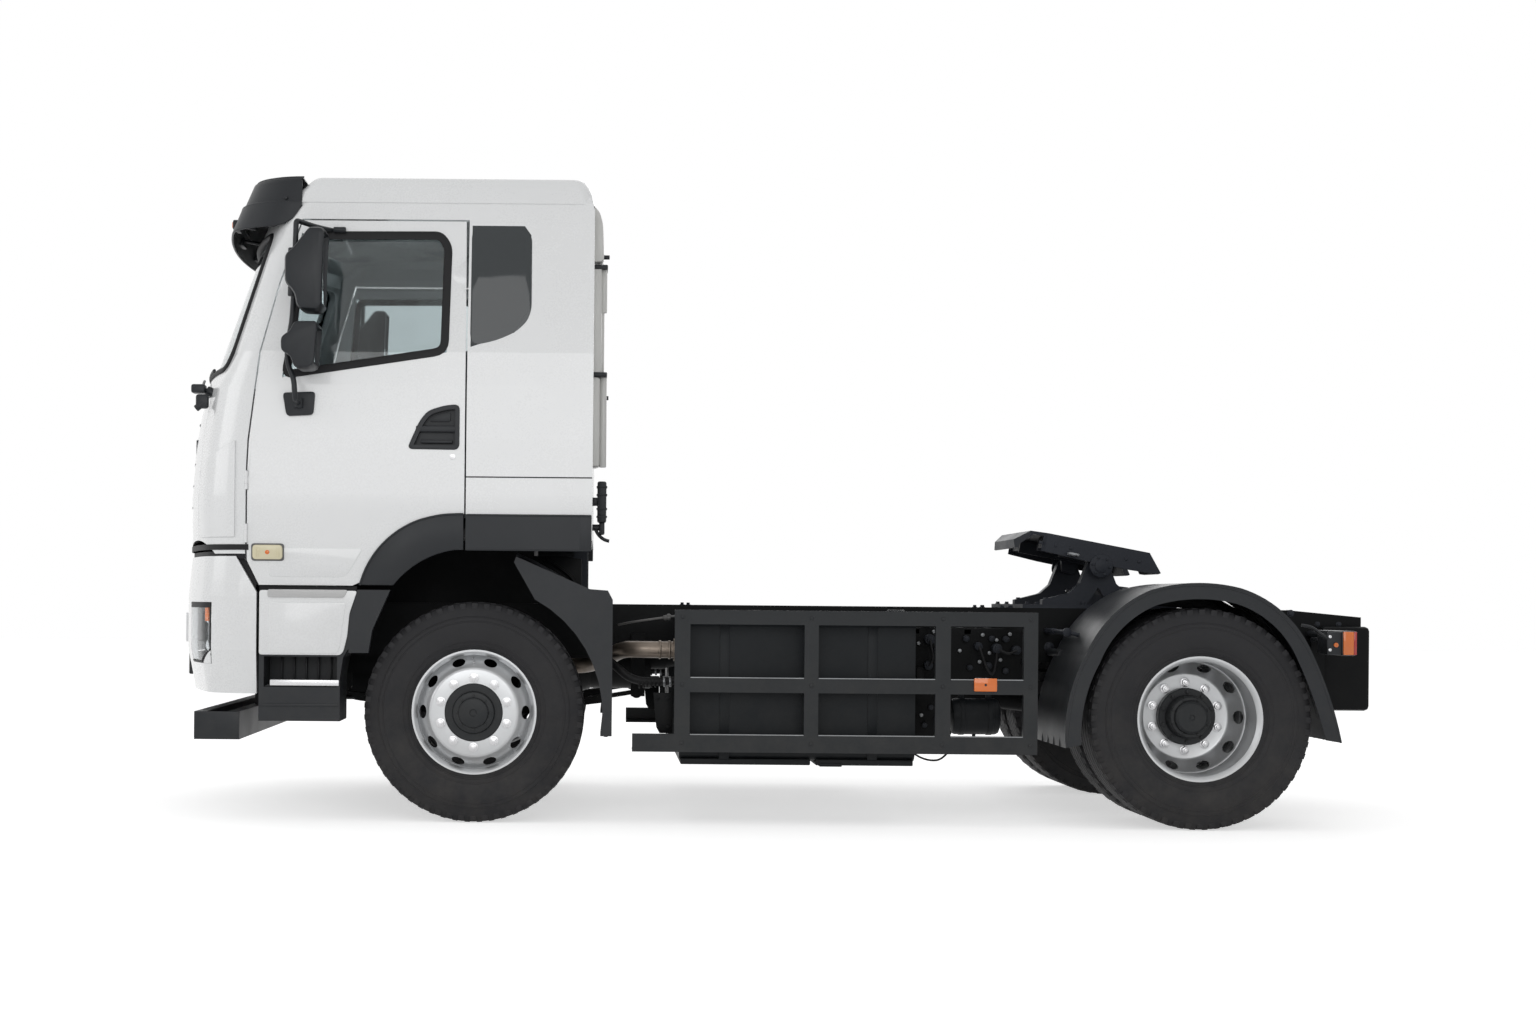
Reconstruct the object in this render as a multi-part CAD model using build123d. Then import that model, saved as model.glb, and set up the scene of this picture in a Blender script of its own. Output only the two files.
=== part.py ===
"""A two-axle cab-over tractor unit for semi-trailers, as an assembly of separate pieces.

Sizes are millimetres, +X points to the rear, +Y to the driver's right and +Z up. The pieces are drawn
with the front axle at X = 0, because heavy vehicles are measured from there, and write() moves them so
that the origin lies on the ground under the middle of the vehicle.
"""
import math
import os

from build123d import *

# ---- driving dimensions -------------------------------------------------------------------------
WHEELBASE = 3500.0
FRONT_OVERHANG = 1560.0         # front axle to the bumper's foremost point
REAR_OVERHANG = 1100.0          # rear axle to the end of the battery box
FRONT_AXLE_X = (FRONT_OVERHANG - WHEELBASE - REAR_OVERHANG) / 2    # where write() moves the front axle

# tyres and wheels
TYRE_R = 535.0
TYRE_W = 300.0
TREAD_W = 236.0
RIM_SEAT_R = 284.0              # where the bead sits
RIM_FLANGE_R = 303.0
RIM_W = 234.0                   # over the flanges
RIM_WALL = 9.0
FLANGE_T = 12.0
DISC_T = 14.0
DISC_FLAT_R = 214.0             # flat ring that the wheel nuts clamp
HUB_BORE_R = 140.5
HAND_HOLES = 10
HAND_HOLE_PCR = 249.0           # radius of the ring of hand holes
HAND_HOLE_L = 62.0
HAND_HOLE_H = 34.0
FRONT_TRACK = 2040.0
REAR_TRACK = 1860.0             # between the middles of the twin pairs
TWIN_HALF = 167.0               # from a twin pair's middle to each tyre's middle
FRONT_DISC_OUT = 150.0          # front disc's face, outside the tyre's middle
HUB_CAP_R = 72.0
DRUM_R = 205.0
HUB_GAP = 0.3                   # running gap between turning pieces and their axles

# kingpins, knuckles and axles
KINGPIN_Y = 850.0
KINGPIN_R = 24.0
KINGPIN_BOSS_R = 46.0
BEAM_EYE_H = 100.0
KNUCKLE_LUG_H = 44.0
SPINDLE_R = 42.0
RUNNING_GAP = 5.0

# ladder frame
RAIL_TOP = 1062.0
RAIL_H = 280.0
RAIL_FLANGE = 80.0
RAIL_T = 8.0
FRAME_HALF = 430.0              # outside of a rail's web
FRAME_FRONT = -1180.0
FRAME_REAR = WHEELBASE + 1056.0

PARTS = {}


# ---- drawing helpers ----------------------------------------------------------------------------
def block(x, y, z):
    """A box from three (low, high) pairs."""
    size = [high - low for low, high in (x, y, z)]
    middle = [(high + low) / 2 for low, high in (x, y, z)]
    return Pos(*middle) * Box(*size)


def side_plane(y):
    """Sketches on it are drawn as (X, Z) and seen from the left side of the vehicle."""
    return Plane(origin=(0, y, 0), x_dir=(1, 0, 0), z_dir=(0, -1, 0))


def along_y(sketch, low, high):
    """Extrudes a sketch drawn as (X, Z) from y = low to y = high."""
    return extrude(side_plane(high) * sketch, amount=high - low)


def along_x(sketch, low, high):
    """Extrudes a sketch drawn as (Y, Z) from x = low to x = high."""
    return extrude(Plane(origin=(low, 0, 0), x_dir=(0, 1, 0), z_dir=(1, 0, 0)) * sketch, amount=high - low)


def along_z(sketch, low, high):
    """Extrudes a sketch drawn as (X, Y) from z = low to z = high."""
    return extrude(Pos(0, 0, low) * sketch, amount=high - low)


def polygon(points, radius=0.0):
    """A closed polygon, with all its corners rounded where a radius is given."""
    turns = sum(x0 * z1 - x1 * z0 for (x0, z0), (x1, z1) in zip(points, points[1:] + points[:1]))
    sketch = Polygon(*(points if turns > 0 else points[::-1]), align=None)
    return fillet(sketch.vertices(), radius) if radius else sketch


def rod_y(x, z, radius, low, high):
    return along_y(Pos(x, z) * Circle(radius), low, high)


def rod_z(x, y, radius, low, high):
    return along_z(Pos(x, y) * Circle(radius), low, high)


def rod_x(y, z, radius, low, high):
    return along_x(Pos(y, z) * Circle(radius), low, high)


def turned(profile, x, z):
    """Revolves a closed profile of (y, r) points about the wheel axis through (x, z)."""
    ring = Plane.YZ * Polygon(*profile, align=None)
    return Pos(x, 0, z) * revolve(ring, Axis.Y)


def mirrored(shape):
    """The same shape on the vehicle's other side."""
    return mirror(shape, Plane.XZ)


def solids_of(shapes):
    return [solid for shape in shapes for solid in shape.solids()]


def write(name, *shapes):
    """Keeps a node: one closed solid or several that don't touch, moved to the vehicle's own origin."""
    PARTS[name] = Compound([Pos(FRONT_AXLE_X, 0, 0) * solid for solid in solids_of(shapes)])


def write_both(name, left):
    """Keeps one node with a solid on each side."""
    write(name, left, mirrored(left))


def write_pair(name, *left):
    """Keeps a node of the left side and its mirror image on the right."""
    write(f"{name}_left", *left)
    write(f"{name}_right", *[mirrored(shape) for shape in left])


# ---- wheels -------------------------------------------------------------------------------------
def tyre(x, middle_y):
    """A tyre on its bead seats, with bulged walls, square shoulders and a slightly crowned tread."""
    seat, flange = RIM_W / 2 - FLANGE_T, RIM_W / 2
    half = [(seat, RIM_SEAT_R), (seat, RIM_FLANGE_R), (flange + 4, RIM_FLANGE_R + 4),
            (TYRE_W / 2 - 8, RIM_FLANGE_R + 50), (TYRE_W / 2, RIM_FLANGE_R + 105),
            (TYRE_W / 2 - 6, TYRE_R - 75), (TREAD_W / 2 + 12, TYRE_R - 28), (TREAD_W / 2, TYRE_R - 8),
            (TREAD_W / 4, TYRE_R)]
    profile = [(middle_y + y, r) for y, r in half] + [(middle_y - y, r) for y, r in reversed(half)]
    return turned(profile, x, TYRE_R)


def hand_holes(x, out_y, in_y):
    """The ring of oval openings through a disc's cone."""
    low, high = sorted((out_y, in_y))
    cutters = []
    for i in range(HAND_HOLES):
        slot = Pos(0, HAND_HOLE_PCR) * SlotOverall(HAND_HOLE_L, HAND_HOLE_H)
        turn = 360 / HAND_HOLES * (i + 0.5)
        cutters.append(Pos(x, 0, TYRE_R) * along_y(Rot(0, 0, turn) * slot, low, high))
    return cutters


def rim(x, middle_y, out, disc_face):
    """A steel wheel. out is +1 or -1, the way outboard, and disc_face the Y of the disc's clamped face."""
    seat, flange = RIM_W / 2 - FLANGE_T, RIM_W / 2
    inner = RIM_SEAT_R - RIM_WALL
    barrel = [(-flange, RIM_FLANGE_R), (-seat, RIM_FLANGE_R), (-seat, RIM_SEAT_R), (seat, RIM_SEAT_R),
              (seat, RIM_FLANGE_R), (flange, RIM_FLANGE_R), (flange, RIM_FLANGE_R - 12), (flange - 16, inner),
              (-flange + 16, inner), (-flange, RIM_FLANGE_R - 12)]
    solid = turned([(middle_y + y, r) for y, r in barrel], x, TYRE_R)
    # the disc: a flat clamped ring, then a cone that runs out to the barrel
    way = 1 if (disc_face - middle_y) * out > 0 else -1
    root = middle_y + out * way * (RIM_W / 2 - 40)
    back = -out * way * DISC_T
    disc = [(disc_face, HUB_BORE_R), (disc_face, DISC_FLAT_R), (root, inner + 2), (root + back, inner + 2),
            (disc_face + back, DISC_FLAT_R - 4), (disc_face + back, HUB_BORE_R)]
    plate = turned(disc, x, TYRE_R)
    for cutter in hand_holes(x, disc_face + 60 * out, root - 60 * out):
        plate -= cutter & turned([(middle_y - 400, DISC_FLAT_R + 8), (middle_y + 400, DISC_FLAT_R + 8),
                                  (middle_y + 400, inner - 6), (middle_y - 400, inner - 6)], x, TYRE_R)
    return solid + plate


def front_wheel():
    out = -1
    middle = out * FRONT_TRACK / 2
    face = middle + out * FRONT_DISC_OUT
    write_pair("tyre_front", tyre(0, middle))
    # hub with its drum: it carries the disc and runs on the spindle
    back = face - out * DISC_T
    mouth = out * (KINGPIN_Y + KINGPIN_BOSS_R + 14)
    bore = SPINDLE_R + HUB_GAP
    shell = [(mouth, DRUM_R - 18), (mouth, DRUM_R), (back, DRUM_R), (back, HUB_BORE_R + 1),
             (face, HUB_BORE_R + 1),
             (face, HUB_CAP_R + 26), (face + out * 24, HUB_CAP_R), (face + out * 40, HUB_CAP_R - 14),
             (face + out * 40, 0), (back - out * 20, 0), (back - out * 20, bore), (mouth + out * 60, bore),
             (mouth + out * 60, bore + 30), (back - out * 40, bore + 44), (back - out * 40, DRUM_R - 18)]
    write_pair("wheel_front", rim(0, middle, out, face) + turned(shell, 0, TYRE_R))


def rear_wheels():
    out = -1
    pair = out * REAR_TRACK / 2
    outer, inner = pair + out * TWIN_HALF, pair - out * TWIN_HALF
    face = pair + out * DISC_T
    write_pair("tyres_rear", tyre(WHEELBASE, outer), tyre(WHEELBASE, inner))
    back = pair - out * DISC_T
    mouth = back - out * 190
    bore = SPINDLE_R + 18 + HUB_GAP
    nose = face + out * 110
    shell = [(mouth, DRUM_R - 18), (mouth, DRUM_R), (back, DRUM_R), (back, HUB_BORE_R + 1),
             (face + out * 40, HUB_BORE_R + 1), (face + out * 40, 104), (nose, 100), (nose, HUB_CAP_R),
             (nose + out * 26, HUB_CAP_R - 10), (nose + out * 26, 0), (nose - out * 20, 0),
             (nose - out * 20, bore),
             (mouth + out * 30, bore), (mouth + out * 30, bore + 24), (back - out * 20, bore + 34),
             (back - out * 20, DRUM_R - 18)]
    twins = rim(WHEELBASE, outer, out, pair) + rim(WHEELBASE, inner, out, pair)
    write_pair("wheels_rear", twins + turned(shell, WHEELBASE, TYRE_R))


front_wheel()
rear_wheels()

# ---- ladder frame -------------------------------------------------------------------------------
RAIL_DROP = 34.0                # fall of the rail's top at its tapered tail
TAIL_TAPER = 376.0              # length of that taper
CROSS_H = 120.0
CROSS_FLANGE = 60.0
CROSS_T = 8.0
CROSS_LOW = 905.0
CROSS_X = (-1150.0, 1080.0, WHEELBASE - 1420.0, WHEELBASE - 860.0, WHEELBASE + 610.0)


def rail_outline(inset):
    """A rail's side outline, drawn in from its top and bottom by inset."""
    top, low = RAIL_TOP - inset, RAIL_TOP - RAIL_H + inset
    return polygon([(FRAME_FRONT, low), (FRAME_REAR - TAIL_TAPER, low), (FRAME_REAR, low + RAIL_DROP),
                    (FRAME_REAR, top - RAIL_DROP), (FRAME_REAR - TAIL_TAPER, top), (FRAME_FRONT, top)])


def rail():
    """The left rail, a channel whose web faces outwards."""
    solid = along_y(rail_outline(0), -FRAME_HALF, -FRAME_HALF + RAIL_FLANGE)
    return solid - along_y(rail_outline(RAIL_T), -FRAME_HALF + RAIL_T, -FRAME_HALF + RAIL_FLANGE + 1)


def crossmember(x):
    """A channel between the webs, open to the rear."""
    half = FRAME_HALF - RAIL_T
    solid = block((x, x + CROSS_FLANGE), (-half, half), (CROSS_LOW, CROSS_LOW + CROSS_H))
    return solid - block((x + CROSS_T, x + CROSS_FLANGE + 1), (-half - 1, half + 1),
                         (CROSS_LOW + CROSS_T, CROSS_LOW + CROSS_H - CROSS_T))


frame = rail() + mirrored(rail())
for x in CROSS_X:
    frame += crossmember(x)
write("frame", frame)

# ---- front axle and knuckles ---------------------------------------------------------------
BEAM_HALF_W = 45.0
BEAM_WEB = 20.0
BEAM_TOP = 490.0
BEAM_LOW = 392.0
STEER_ARM = 190.0               # kingpin to the arm's ball, straight back


def front_axle():
    """A forged beam, dropped between the kingpin eyes, with an I section between its pads."""
    eye_low, eye_top = TYRE_R - BEAM_EYE_H / 2, TYRE_R + BEAM_EYE_H / 2
    reach = KINGPIN_Y - 30
    half = [(0, BEAM_LOW), (500, BEAM_LOW), (600, BEAM_LOW + 24), (reach - 30, eye_low), (reach, eye_low),
            (reach, eye_top), (640, BEAM_TOP + 12), (516, BEAM_TOP), (0, BEAM_TOP)]
    right = along_x(polygon(half), -BEAM_HALF_W, BEAM_HALF_W)
    pocket = [(0, BEAM_LOW + 20), (330, BEAM_LOW + 20), (330, BEAM_TOP - 20), (0, BEAM_TOP - 20)]
    arm = [(560, BEAM_LOW + 38), (KINGPIN_Y - 70, eye_low + 24), (KINGPIN_Y - 70, eye_top - 24),
           (560, BEAM_TOP - 18)]
    for outline in (pocket, arm):
        for low, high in ((-BEAM_HALF_W - 1, -BEAM_WEB / 2), (BEAM_WEB / 2, BEAM_HALF_W + 1)):
            right -= along_x(polygon(outline), low, high)
    right += rod_z(0, KINGPIN_Y, KINGPIN_BOSS_R, eye_low, eye_top)
    right -= rod_z(0, KINGPIN_Y, KINGPIN_R + HUB_GAP, eye_low - 1, eye_top + 1)
    return right + mirrored(right)


def knuckle(out):
    """Kingpin, yoke, spindle and steering arm of one front wheel."""
    y = out * KINGPIN_Y
    gap = 1.0
    eye_low, eye_top = TYRE_R - BEAM_EYE_H / 2 - gap, TYRE_R + BEAM_EYE_H / 2 + gap
    low, top = eye_low - KNUCKLE_LUG_H, eye_top + KNUCKLE_LUG_H
    yoke_in = KINGPIN_Y + KINGPIN_BOSS_R + 6
    yoke_out = yoke_in + 34
    solid = rod_z(0, y, KINGPIN_R, low, top)
    for a, b in ((low, eye_low), (eye_top, top)):
        solid += rod_z(0, y, KINGPIN_BOSS_R, a, b)
        solid += block((-40, 40), sorted((y, out * yoke_out)), (a, b))
    solid += block((-40, 40), sorted((out * yoke_in, out * yoke_out)), (low, top))
    end = FRONT_TRACK / 2 + FRONT_DISC_OUT - DISC_T - 24
    solid += rod_y(0, TYRE_R, SPINDLE_R, *sorted((out * yoke_in, out * end)))
    # arm back to the tie rod's ball
    solid += block((30, STEER_ARM), (y - 20, y + 20), (low, eye_low - 6))
    solid += rod_z(STEER_ARM, y, 24, low, eye_low - 6)
    return solid


write("front_axle_beam", front_axle())
write_pair("knuckle", knuckle(-1))

# ---- leaf springs ---------------------------------------------------------------------------------
LEAF_T = 20.0
LEAF_W = 90.0
SPRING_Y = 462.0                # middle of a spring
SPRING_HALF = 780.0


def leaf_pack(x, seat_z, rise, leaves, clamp_top):
    """A pack of leaves on an axle seat. The ends rise to eyes that hang from the rail."""
    pack = None
    for i in range(leaves):
        half = SPRING_HALF * (1 - 0.16 * (leaves - 1 - i))
        lift = rise * (half / SPRING_HALF) ** 2
        z = seat_z + LEAF_T * i
        low = [(x - half, z + lift), (x, z), (x + half, z + lift)]
        top = [(px, pz + LEAF_T) for px, pz in low]
        edges = [ThreePointArc(*low), Line(low[2], top[2]), ThreePointArc(*reversed(top)),
                 Line(top[0], low[0])]
        leaf = along_y(make_face(edges), -SPRING_Y - LEAF_W / 2, -SPRING_Y + LEAF_W / 2)
        pack = leaf if pack is None else pack + leaf
    eye_z = seat_z + LEAF_T * leaves + rise - LEAF_T / 2
    for end in (-1, 1):
        pack += rod_y(x + end * (SPRING_HALF + 18), eye_z, 30, -SPRING_Y - LEAF_W / 2, -SPRING_Y + LEAF_W / 2)
        # hanger: a bracket bolted under and beside the rail
        near, far = sorted((x + end * (SPRING_HALF - 10), x + end * (SPRING_HALF + 60)))
        pack += block((near, far), (-SPRING_Y - LEAF_W / 2 - 10, -FRAME_HALF),
                      (eye_z - 20, RAIL_TOP - RAIL_H + 130))
        pack += block((near, far), (-FRAME_HALF, -FRAME_HALF + RAIL_FLANGE), (eye_z - 20, RAIL_TOP - RAIL_H))
    pad = block((x - 90, x + 90), (-SPRING_Y - LEAF_W / 2 - 6, -SPRING_Y + LEAF_W / 2 + 6),
                (seat_z + LEAF_T * leaves, clamp_top))
    return pack + pad


front_pack = leaf_pack(0, BEAM_TOP, 70, 3, BEAM_TOP + 88)
write_both("front_springs", front_pack)

# ---- rear axle ---------------------------------------------------------------------------------------
AXLE_TUBE_R = 88.0
REAR_SPINDLE_R = SPINDLE_R + 18


def rear_axle():
    """Banjo housing with its cover, tubes, spindles and pinion nose."""
    x, z = WHEELBASE, TYRE_R
    mouth = REAR_TRACK / 2 - DISC_T - 190
    half = [(0, 235), (120, 225), (220, 160), (330, AXLE_TUBE_R), (mouth - 12, AXLE_TUBE_R),
            (mouth - 12, REAR_SPINDLE_R), (REAR_TRACK / 2 + DISC_T + 84, REAR_SPINDLE_R)]
    profile = [(-y, r) for y, r in reversed(half)] + half[1:]
    profile = [(profile[0][0], 0)] + profile + [(profile[-1][0], 0)]
    solid = turned(profile, x, z)
    solid += rod_x(0, z, 150, x - 300, x)
    nose = loft([Plane.YZ.offset(x - 300) * Pos(0, z) * Circle(150),
                 Plane.YZ.offset(x - 430) * Pos(0, z) * Circle(70)])
    for y in (-SPRING_Y, SPRING_Y):
        solid += block((x - 70, x + 70), (y - LEAF_W / 2, y + LEAF_W / 2), (z, z + AXLE_TUBE_R + 12))
    return solid + nose


REAR_SEAT = TYRE_R + AXLE_TUBE_R + 12
rear_pack = leaf_pack(WHEELBASE, REAR_SEAT, 26, 4, REAR_SEAT + 110)
write("rear_axle", rear_axle())
write_both("rear_springs", rear_pack)

# ---- engine, gearbox and shaft --------------------------------------------------------------------
ENGINE_X = (-780.0, 260.0)
GEARBOX_Z = 790.0


def gearbox():
    solid = rod_x(0, GEARBOX_Z, 235, ENGINE_X[1], ENGINE_X[1] + 150)
    solid += loft([Plane.YZ.offset(ENGINE_X[1] + 150) * Pos(0, GEARBOX_Z) * Circle(235),
                   Plane.YZ.offset(ENGINE_X[1] + 300) * Pos(0, GEARBOX_Z) * Circle(180)])
    solid += rod_x(0, GEARBOX_Z, 180, ENGINE_X[1] + 300, ENGINE_X[1] + 620)
    return solid + rod_x(0, GEARBOX_Z, 75, ENGINE_X[1] + 620, ENGINE_X[1] + 700)


def propshaft():
    """The tube between the gearbox flange and the axle's pinion, with its two yokes."""
    start = Vector(ENGINE_X[1] + 700, 0, GEARBOX_Z)
    end = Vector(WHEELBASE - 430, 0, TYRE_R)
    way = end - start
    plane = Plane(origin=start + way * 0.03, z_dir=way)
    tube = extrude(plane * Circle(52), amount=way.length * 0.94)
    first = loft([Plane.YZ.offset(start.X) * Pos(0, start.Z) * Circle(70), plane * Circle(52)])
    last_plane = Plane(origin=start + way * 0.97, z_dir=way)
    last = loft([last_plane * Circle(52), Plane.YZ.offset(end.X) * Pos(0, end.Z) * Circle(66)])
    return tube + first + last


RADIATOR_X = (-960.0, -880.0)
FLANGE_IN = FRAME_HALF - RAIL_FLANGE
engine = block(ENGINE_X, (-320, 320), (690, 1400)) + block((-700, 180), (-230, 230), (560, 690))
radiator = block(RADIATOR_X, (-330, 330), (700, 1330))
for y0, y1 in ((-FLANGE_IN, -300), (300, FLANGE_IN)):
    engine += block((-300, -200), (y0, y1), (1020, RAIL_TOP))
    radiator += block((-950, -890), (y0, y1), (1020, RAIL_TOP))
write("engine", engine)
write("radiator", radiator)
write("gearbox", gearbox())
write("propshaft", propshaft())

# ---- outline of the nose and the cab -------------------------------------------------------------
# one row a height: z, half width, front at the middle, front arc radius, corner radius
NOSE = [(620.0, 1215.0, -1520.0, 2800.0, 250.0), (830.0, 1245.0, -FRONT_OVERHANG, 2800.0, 250.0),
        (1086.0, 1245.0, -FRONT_OVERHANG, 2800.0, 250.0), (1280.0, 1240.0, -1540.0, 2800.0, 250.0)]


def plan(z, half, front, arc, corner, back, inset=0.0):
    """A plan section: curved front, round front corners and straight sides to x = back."""
    half, front, arc, corner = half - inset, front + inset, arc - inset, corner - inset
    middle = front + arc
    cy = half - corner
    cx = middle - math.sqrt((arc - corner) ** 2 - cy ** 2)
    angle = math.atan2(cy, middle - cx)
    join = (middle - arc * math.cos(angle), arc * math.sin(angle))
    bend = math.pi / 4 - angle / 2
    bulge = (cx - corner * math.sin(bend), cy + corner * math.cos(bend))
    right = [(back, half), (cx, half)]
    edges = [Line((back, -half), right[0]), Line(*right), ThreePointArc(right[1], bulge, join),
             ThreePointArc(join, (front, 0), (join[0], -join[1])),
             ThreePointArc((join[0], -join[1]), (bulge[0], -bulge[1]), (cx, -half)),
             Line((cx, -half), (back, -half))]
    return Pos(0, 0, z) * make_face(edges)


def nose_volume(rows, back, inset=0.0):
    """Lofts plan sections, drawn in by inset."""
    return loft([plan(*row, back, inset) for row in rows], ruled=True)


# ---- bumper, headlamps and underrun bar --------------------------------------------------------------
BUMPER_T = 30.0
BUMPER_BACK = -1043.0
LAMP_X = (-1600.0, -1268.0)
LAMP_Y = (830.0, 1260.0)
LAMP_Z = (760.0, 1058.0)
LAMP_DEPTH = 110.0
LAMP_GAP = 3.0
INTAKE_Y = 470.0
INTAKE_Z = (690.0, 800.0)


def bumper_side():
    """Keeps the bumper's side outline: its rear edge slopes down from the nose to the steps."""
    points = [(-1700, 600), (BUMPER_BACK, 600), (BUMPER_BACK, 1108), (-1145, 1281), (-1700, 1281)]
    return along_y(polygon(points), -1300, 1300)


def headlamp(outer, core):
    cutter = block(LAMP_X, (-LAMP_Y[1], -LAMP_Y[0]), LAMP_Z)
    inner = block((LAMP_X[0], LAMP_X[1] - LAMP_GAP), (-LAMP_Y[1], -LAMP_Y[0] - LAMP_GAP),
                  (LAMP_Z[0] + HUB_GAP, LAMP_Z[1] - LAMP_GAP))
    return cutter, (outer & inner) - core


nose = nose_volume(NOSE, BUMPER_BACK + 100) & bumper_side()
bumper = nose - nose_volume([(NOSE[0][0] - 1, *NOSE[0][1:])] + NOSE[1:3] + [(NOSE[3][0] + 2, *NOSE[3][1:])],
                            BUMPER_BACK + 101, BUMPER_T)
lamp_hole, lamp = headlamp(nose, nose_volume(NOSE, BUMPER_BACK + 100, LAMP_DEPTH))
bumper -= lamp_hole + mirrored(lamp_hole)
bumper -= block((-1700, -1300), (-INTAKE_Y, INTAKE_Y), INTAKE_Z)
# two arms from the rail ends, and a shelf that carries each lamp
for y in (-FRAME_HALF, FRAME_HALF - 70):
    bumper += block((-FRONT_OVERHANG + 20, FRAME_FRONT), (y, y + 70), (850, 1000))
shelf = nose_volume(NOSE[:3], BUMPER_BACK + 100, 4) & block((-1600, -1240), (-1300, -LAMP_Y[0] - 10),
                                                          (LAMP_Z[0] - 20, LAMP_Z[0]))
bumper += shelf + mirrored(shelf)
write("bumper", bumper)
write_both("headlamps", lamp)

UNDERRUN_X = (-1351.0, -1132.0)
UNDERRUN_Z = (395.0, 530.0)
UNDERRUN_HALF = 1170.0
bar = block(UNDERRUN_X, (-UNDERRUN_HALF, UNDERRUN_HALF), UNDERRUN_Z)
bar -= block((UNDERRUN_X[0] + 60, UNDERRUN_X[1] - 60), (-UNDERRUN_HALF - 1, UNDERRUN_HALF + 1),
             (UNDERRUN_Z[0] + 40, UNDERRUN_Z[1] + 1))
for y in (-FRAME_HALF, FRAME_HALF - 70):
    bar += block((-1180, -1132), (y, y + 70), (UNDERRUN_Z[0], RAIL_TOP - RAIL_H))
write("underrun_bar", bar)

# ---- entry steps and front wings ---------------------------------------------------------------------
SIDE_Y = 1235.0                 # outside of the lower side panels
STEP_IN = 960.0


def tray(sketch, outer_y, inner_y, wall):
    """A panel that faces left, with side walls all round it, open towards the frame."""
    solid = along_y(sketch, -outer_y, -inner_y)
    return solid - along_y(offset(sketch, -wall), -outer_y + wall, -inner_y + 1)


def steps():
    """One side's step box in front of the wheel, with its tread recess and two stays to the rail."""
    outline = polygon([(-1030, 490), (-640, 490), (-640, 700), (-625, 800), (-600, 840), (-585, 900),
                       (-585, 1120), (-1030, 1120)])
    solid = tray(outline, SIDE_Y, STEP_IN, 14)
    well = block((-1006, -654), (-SIDE_Y - 1, -1040), (654, 800))
    lining = block((-1016, -644), (-SIDE_Y + 1, -1028), (642, 812))
    solid = (solid + (lining & along_y(outline, -SIDE_Y, -STEP_IN))) - well
    arch = polygon([(-600, 840), (-600, 819), (-505, 820), (-487, 930), (-402, 1123), (-560, 1123),
                    (-590, 1026)])
    solid += along_y(arch, -SIDE_Y, -SIDE_Y + 40)
    for x in (-930, -720):
        solid += rod_y(x, 930, 24, -SIDE_Y + 10, -FRAME_HALF)
    return solid


WING_R = 622.0                  # inside of the wing, clear of the wheel at full lock


def wing():
    """The rear half of one front wing, on the frame."""
    angles = [math.radians(a) for a in range(-10, 63, 8)]
    inner = [(WING_R * math.cos(a), TYRE_R + WING_R * math.sin(a)) for a in angles]
    outline = polygon(inner + [(190, 1262), (200, 1290), (557, 1136), (644, 1130), (668, 1085), (668, 427)])
    solid = tray(outline, 1200, 880, 10)
    return solid + rod_y(640, 930, 22, -1195, -FRAME_HALF)


write_both("steps", steps())
write_both("front_wings", wing())

# ---- side guards, tanks and exhaust -------------------------------------------------------------------
GUARD_Y = (1196.0, 1232.0)
GUARD_REAR = WHEELBASE - 787.0
GUARD_POSTS = ((967.0, 1042.0), (1591.0, 1659.0), (GUARD_REAR - 492, GUARD_REAR - 419),
               (GUARD_REAR - 68, GUARD_REAR))
GUARD_RAILS = ((766.0, 357.0, 443.0), (967.0, 645.0, 717.0), (967.0, 972.0, 1041.0))    # front, low, top
TANK_X = (996.0, WHEELBASE - 1357.0)
TANK_Y = (480.0, 1110.0)
TANK_Z = (309.0, 1019.0)


def side_guard():
    y = (-GUARD_Y[1], -GUARD_Y[0])
    solid = None
    for front, low, top in GUARD_RAILS:
        bar = block((front, GUARD_POSTS[-1][1]), y, (low, top))
        solid = bar if solid is None else solid + bar
    for front, back in GUARD_POSTS:
        solid += block((front, back), y, (GUARD_RAILS[0][1], GUARD_RAILS[-1][2]))
    for x in (1010, 1610):
        solid += block((x, x + 30), (-GUARD_Y[0], -TANK_Y[1]), (985, 1012))
        solid += block((x, x + 30), (-GUARD_Y[0], -TANK_Y[1]), (370, 400))
    for x in (GUARD_REAR - 456, GUARD_REAR - 33):
        solid += rod_y(x, 1000, 24, -GUARD_Y[0], -FRAME_HALF)
    return solid


def tank():
    """A box tank with round edges, on two brackets that bolt to the rail."""
    body = block(TANK_X, (-TANK_Y[1], -TANK_Y[0]), TANK_Z)
    body = fillet(body.edges().filter_by(Axis.X), 60)
    for x in (TANK_X[0] + 184, TANK_X[1] - 243):
        body += block((x, x + 70), (-TANK_Y[0] - 30, -FRAME_HALF), (800, 960))
    return body


write_both("side_guards", side_guard())
write_both("tanks", tank())

PIPE_R = 43.0
PIPE_Y = 800.0
PIPE_BEND = 95.0
PIPE_END_Z = 843.0
pipe_run = [(ENGINE_X[1], -285, 735), (530, -285, 735), (690, -700, 702), (850, -PIPE_Y, PIPE_END_Z),
            (TANK_X[0], -PIPE_Y, PIPE_END_Z)]
pipe_path = FilletPolyline(*pipe_run, radius=PIPE_BEND)
exhaust = sweep(Plane(origin=pipe_path @ 0, z_dir=pipe_path % 0) * Circle(PIPE_R), path=pipe_path)
write("exhaust", exhaust)

AIR_TANK_R = 100.0
AIR_TANK_X = (WHEELBASE - 1300.0, WHEELBASE - 800.0)
air_tank = rod_x(-620, 850, AIR_TANK_R, *AIR_TANK_X)
air_tank += block((AIR_TANK_X[0] + 200, AIR_TANK_X[0] + 250), (-560, -FRAME_HALF), (810, 890))
write("air_tank", air_tank)

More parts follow.
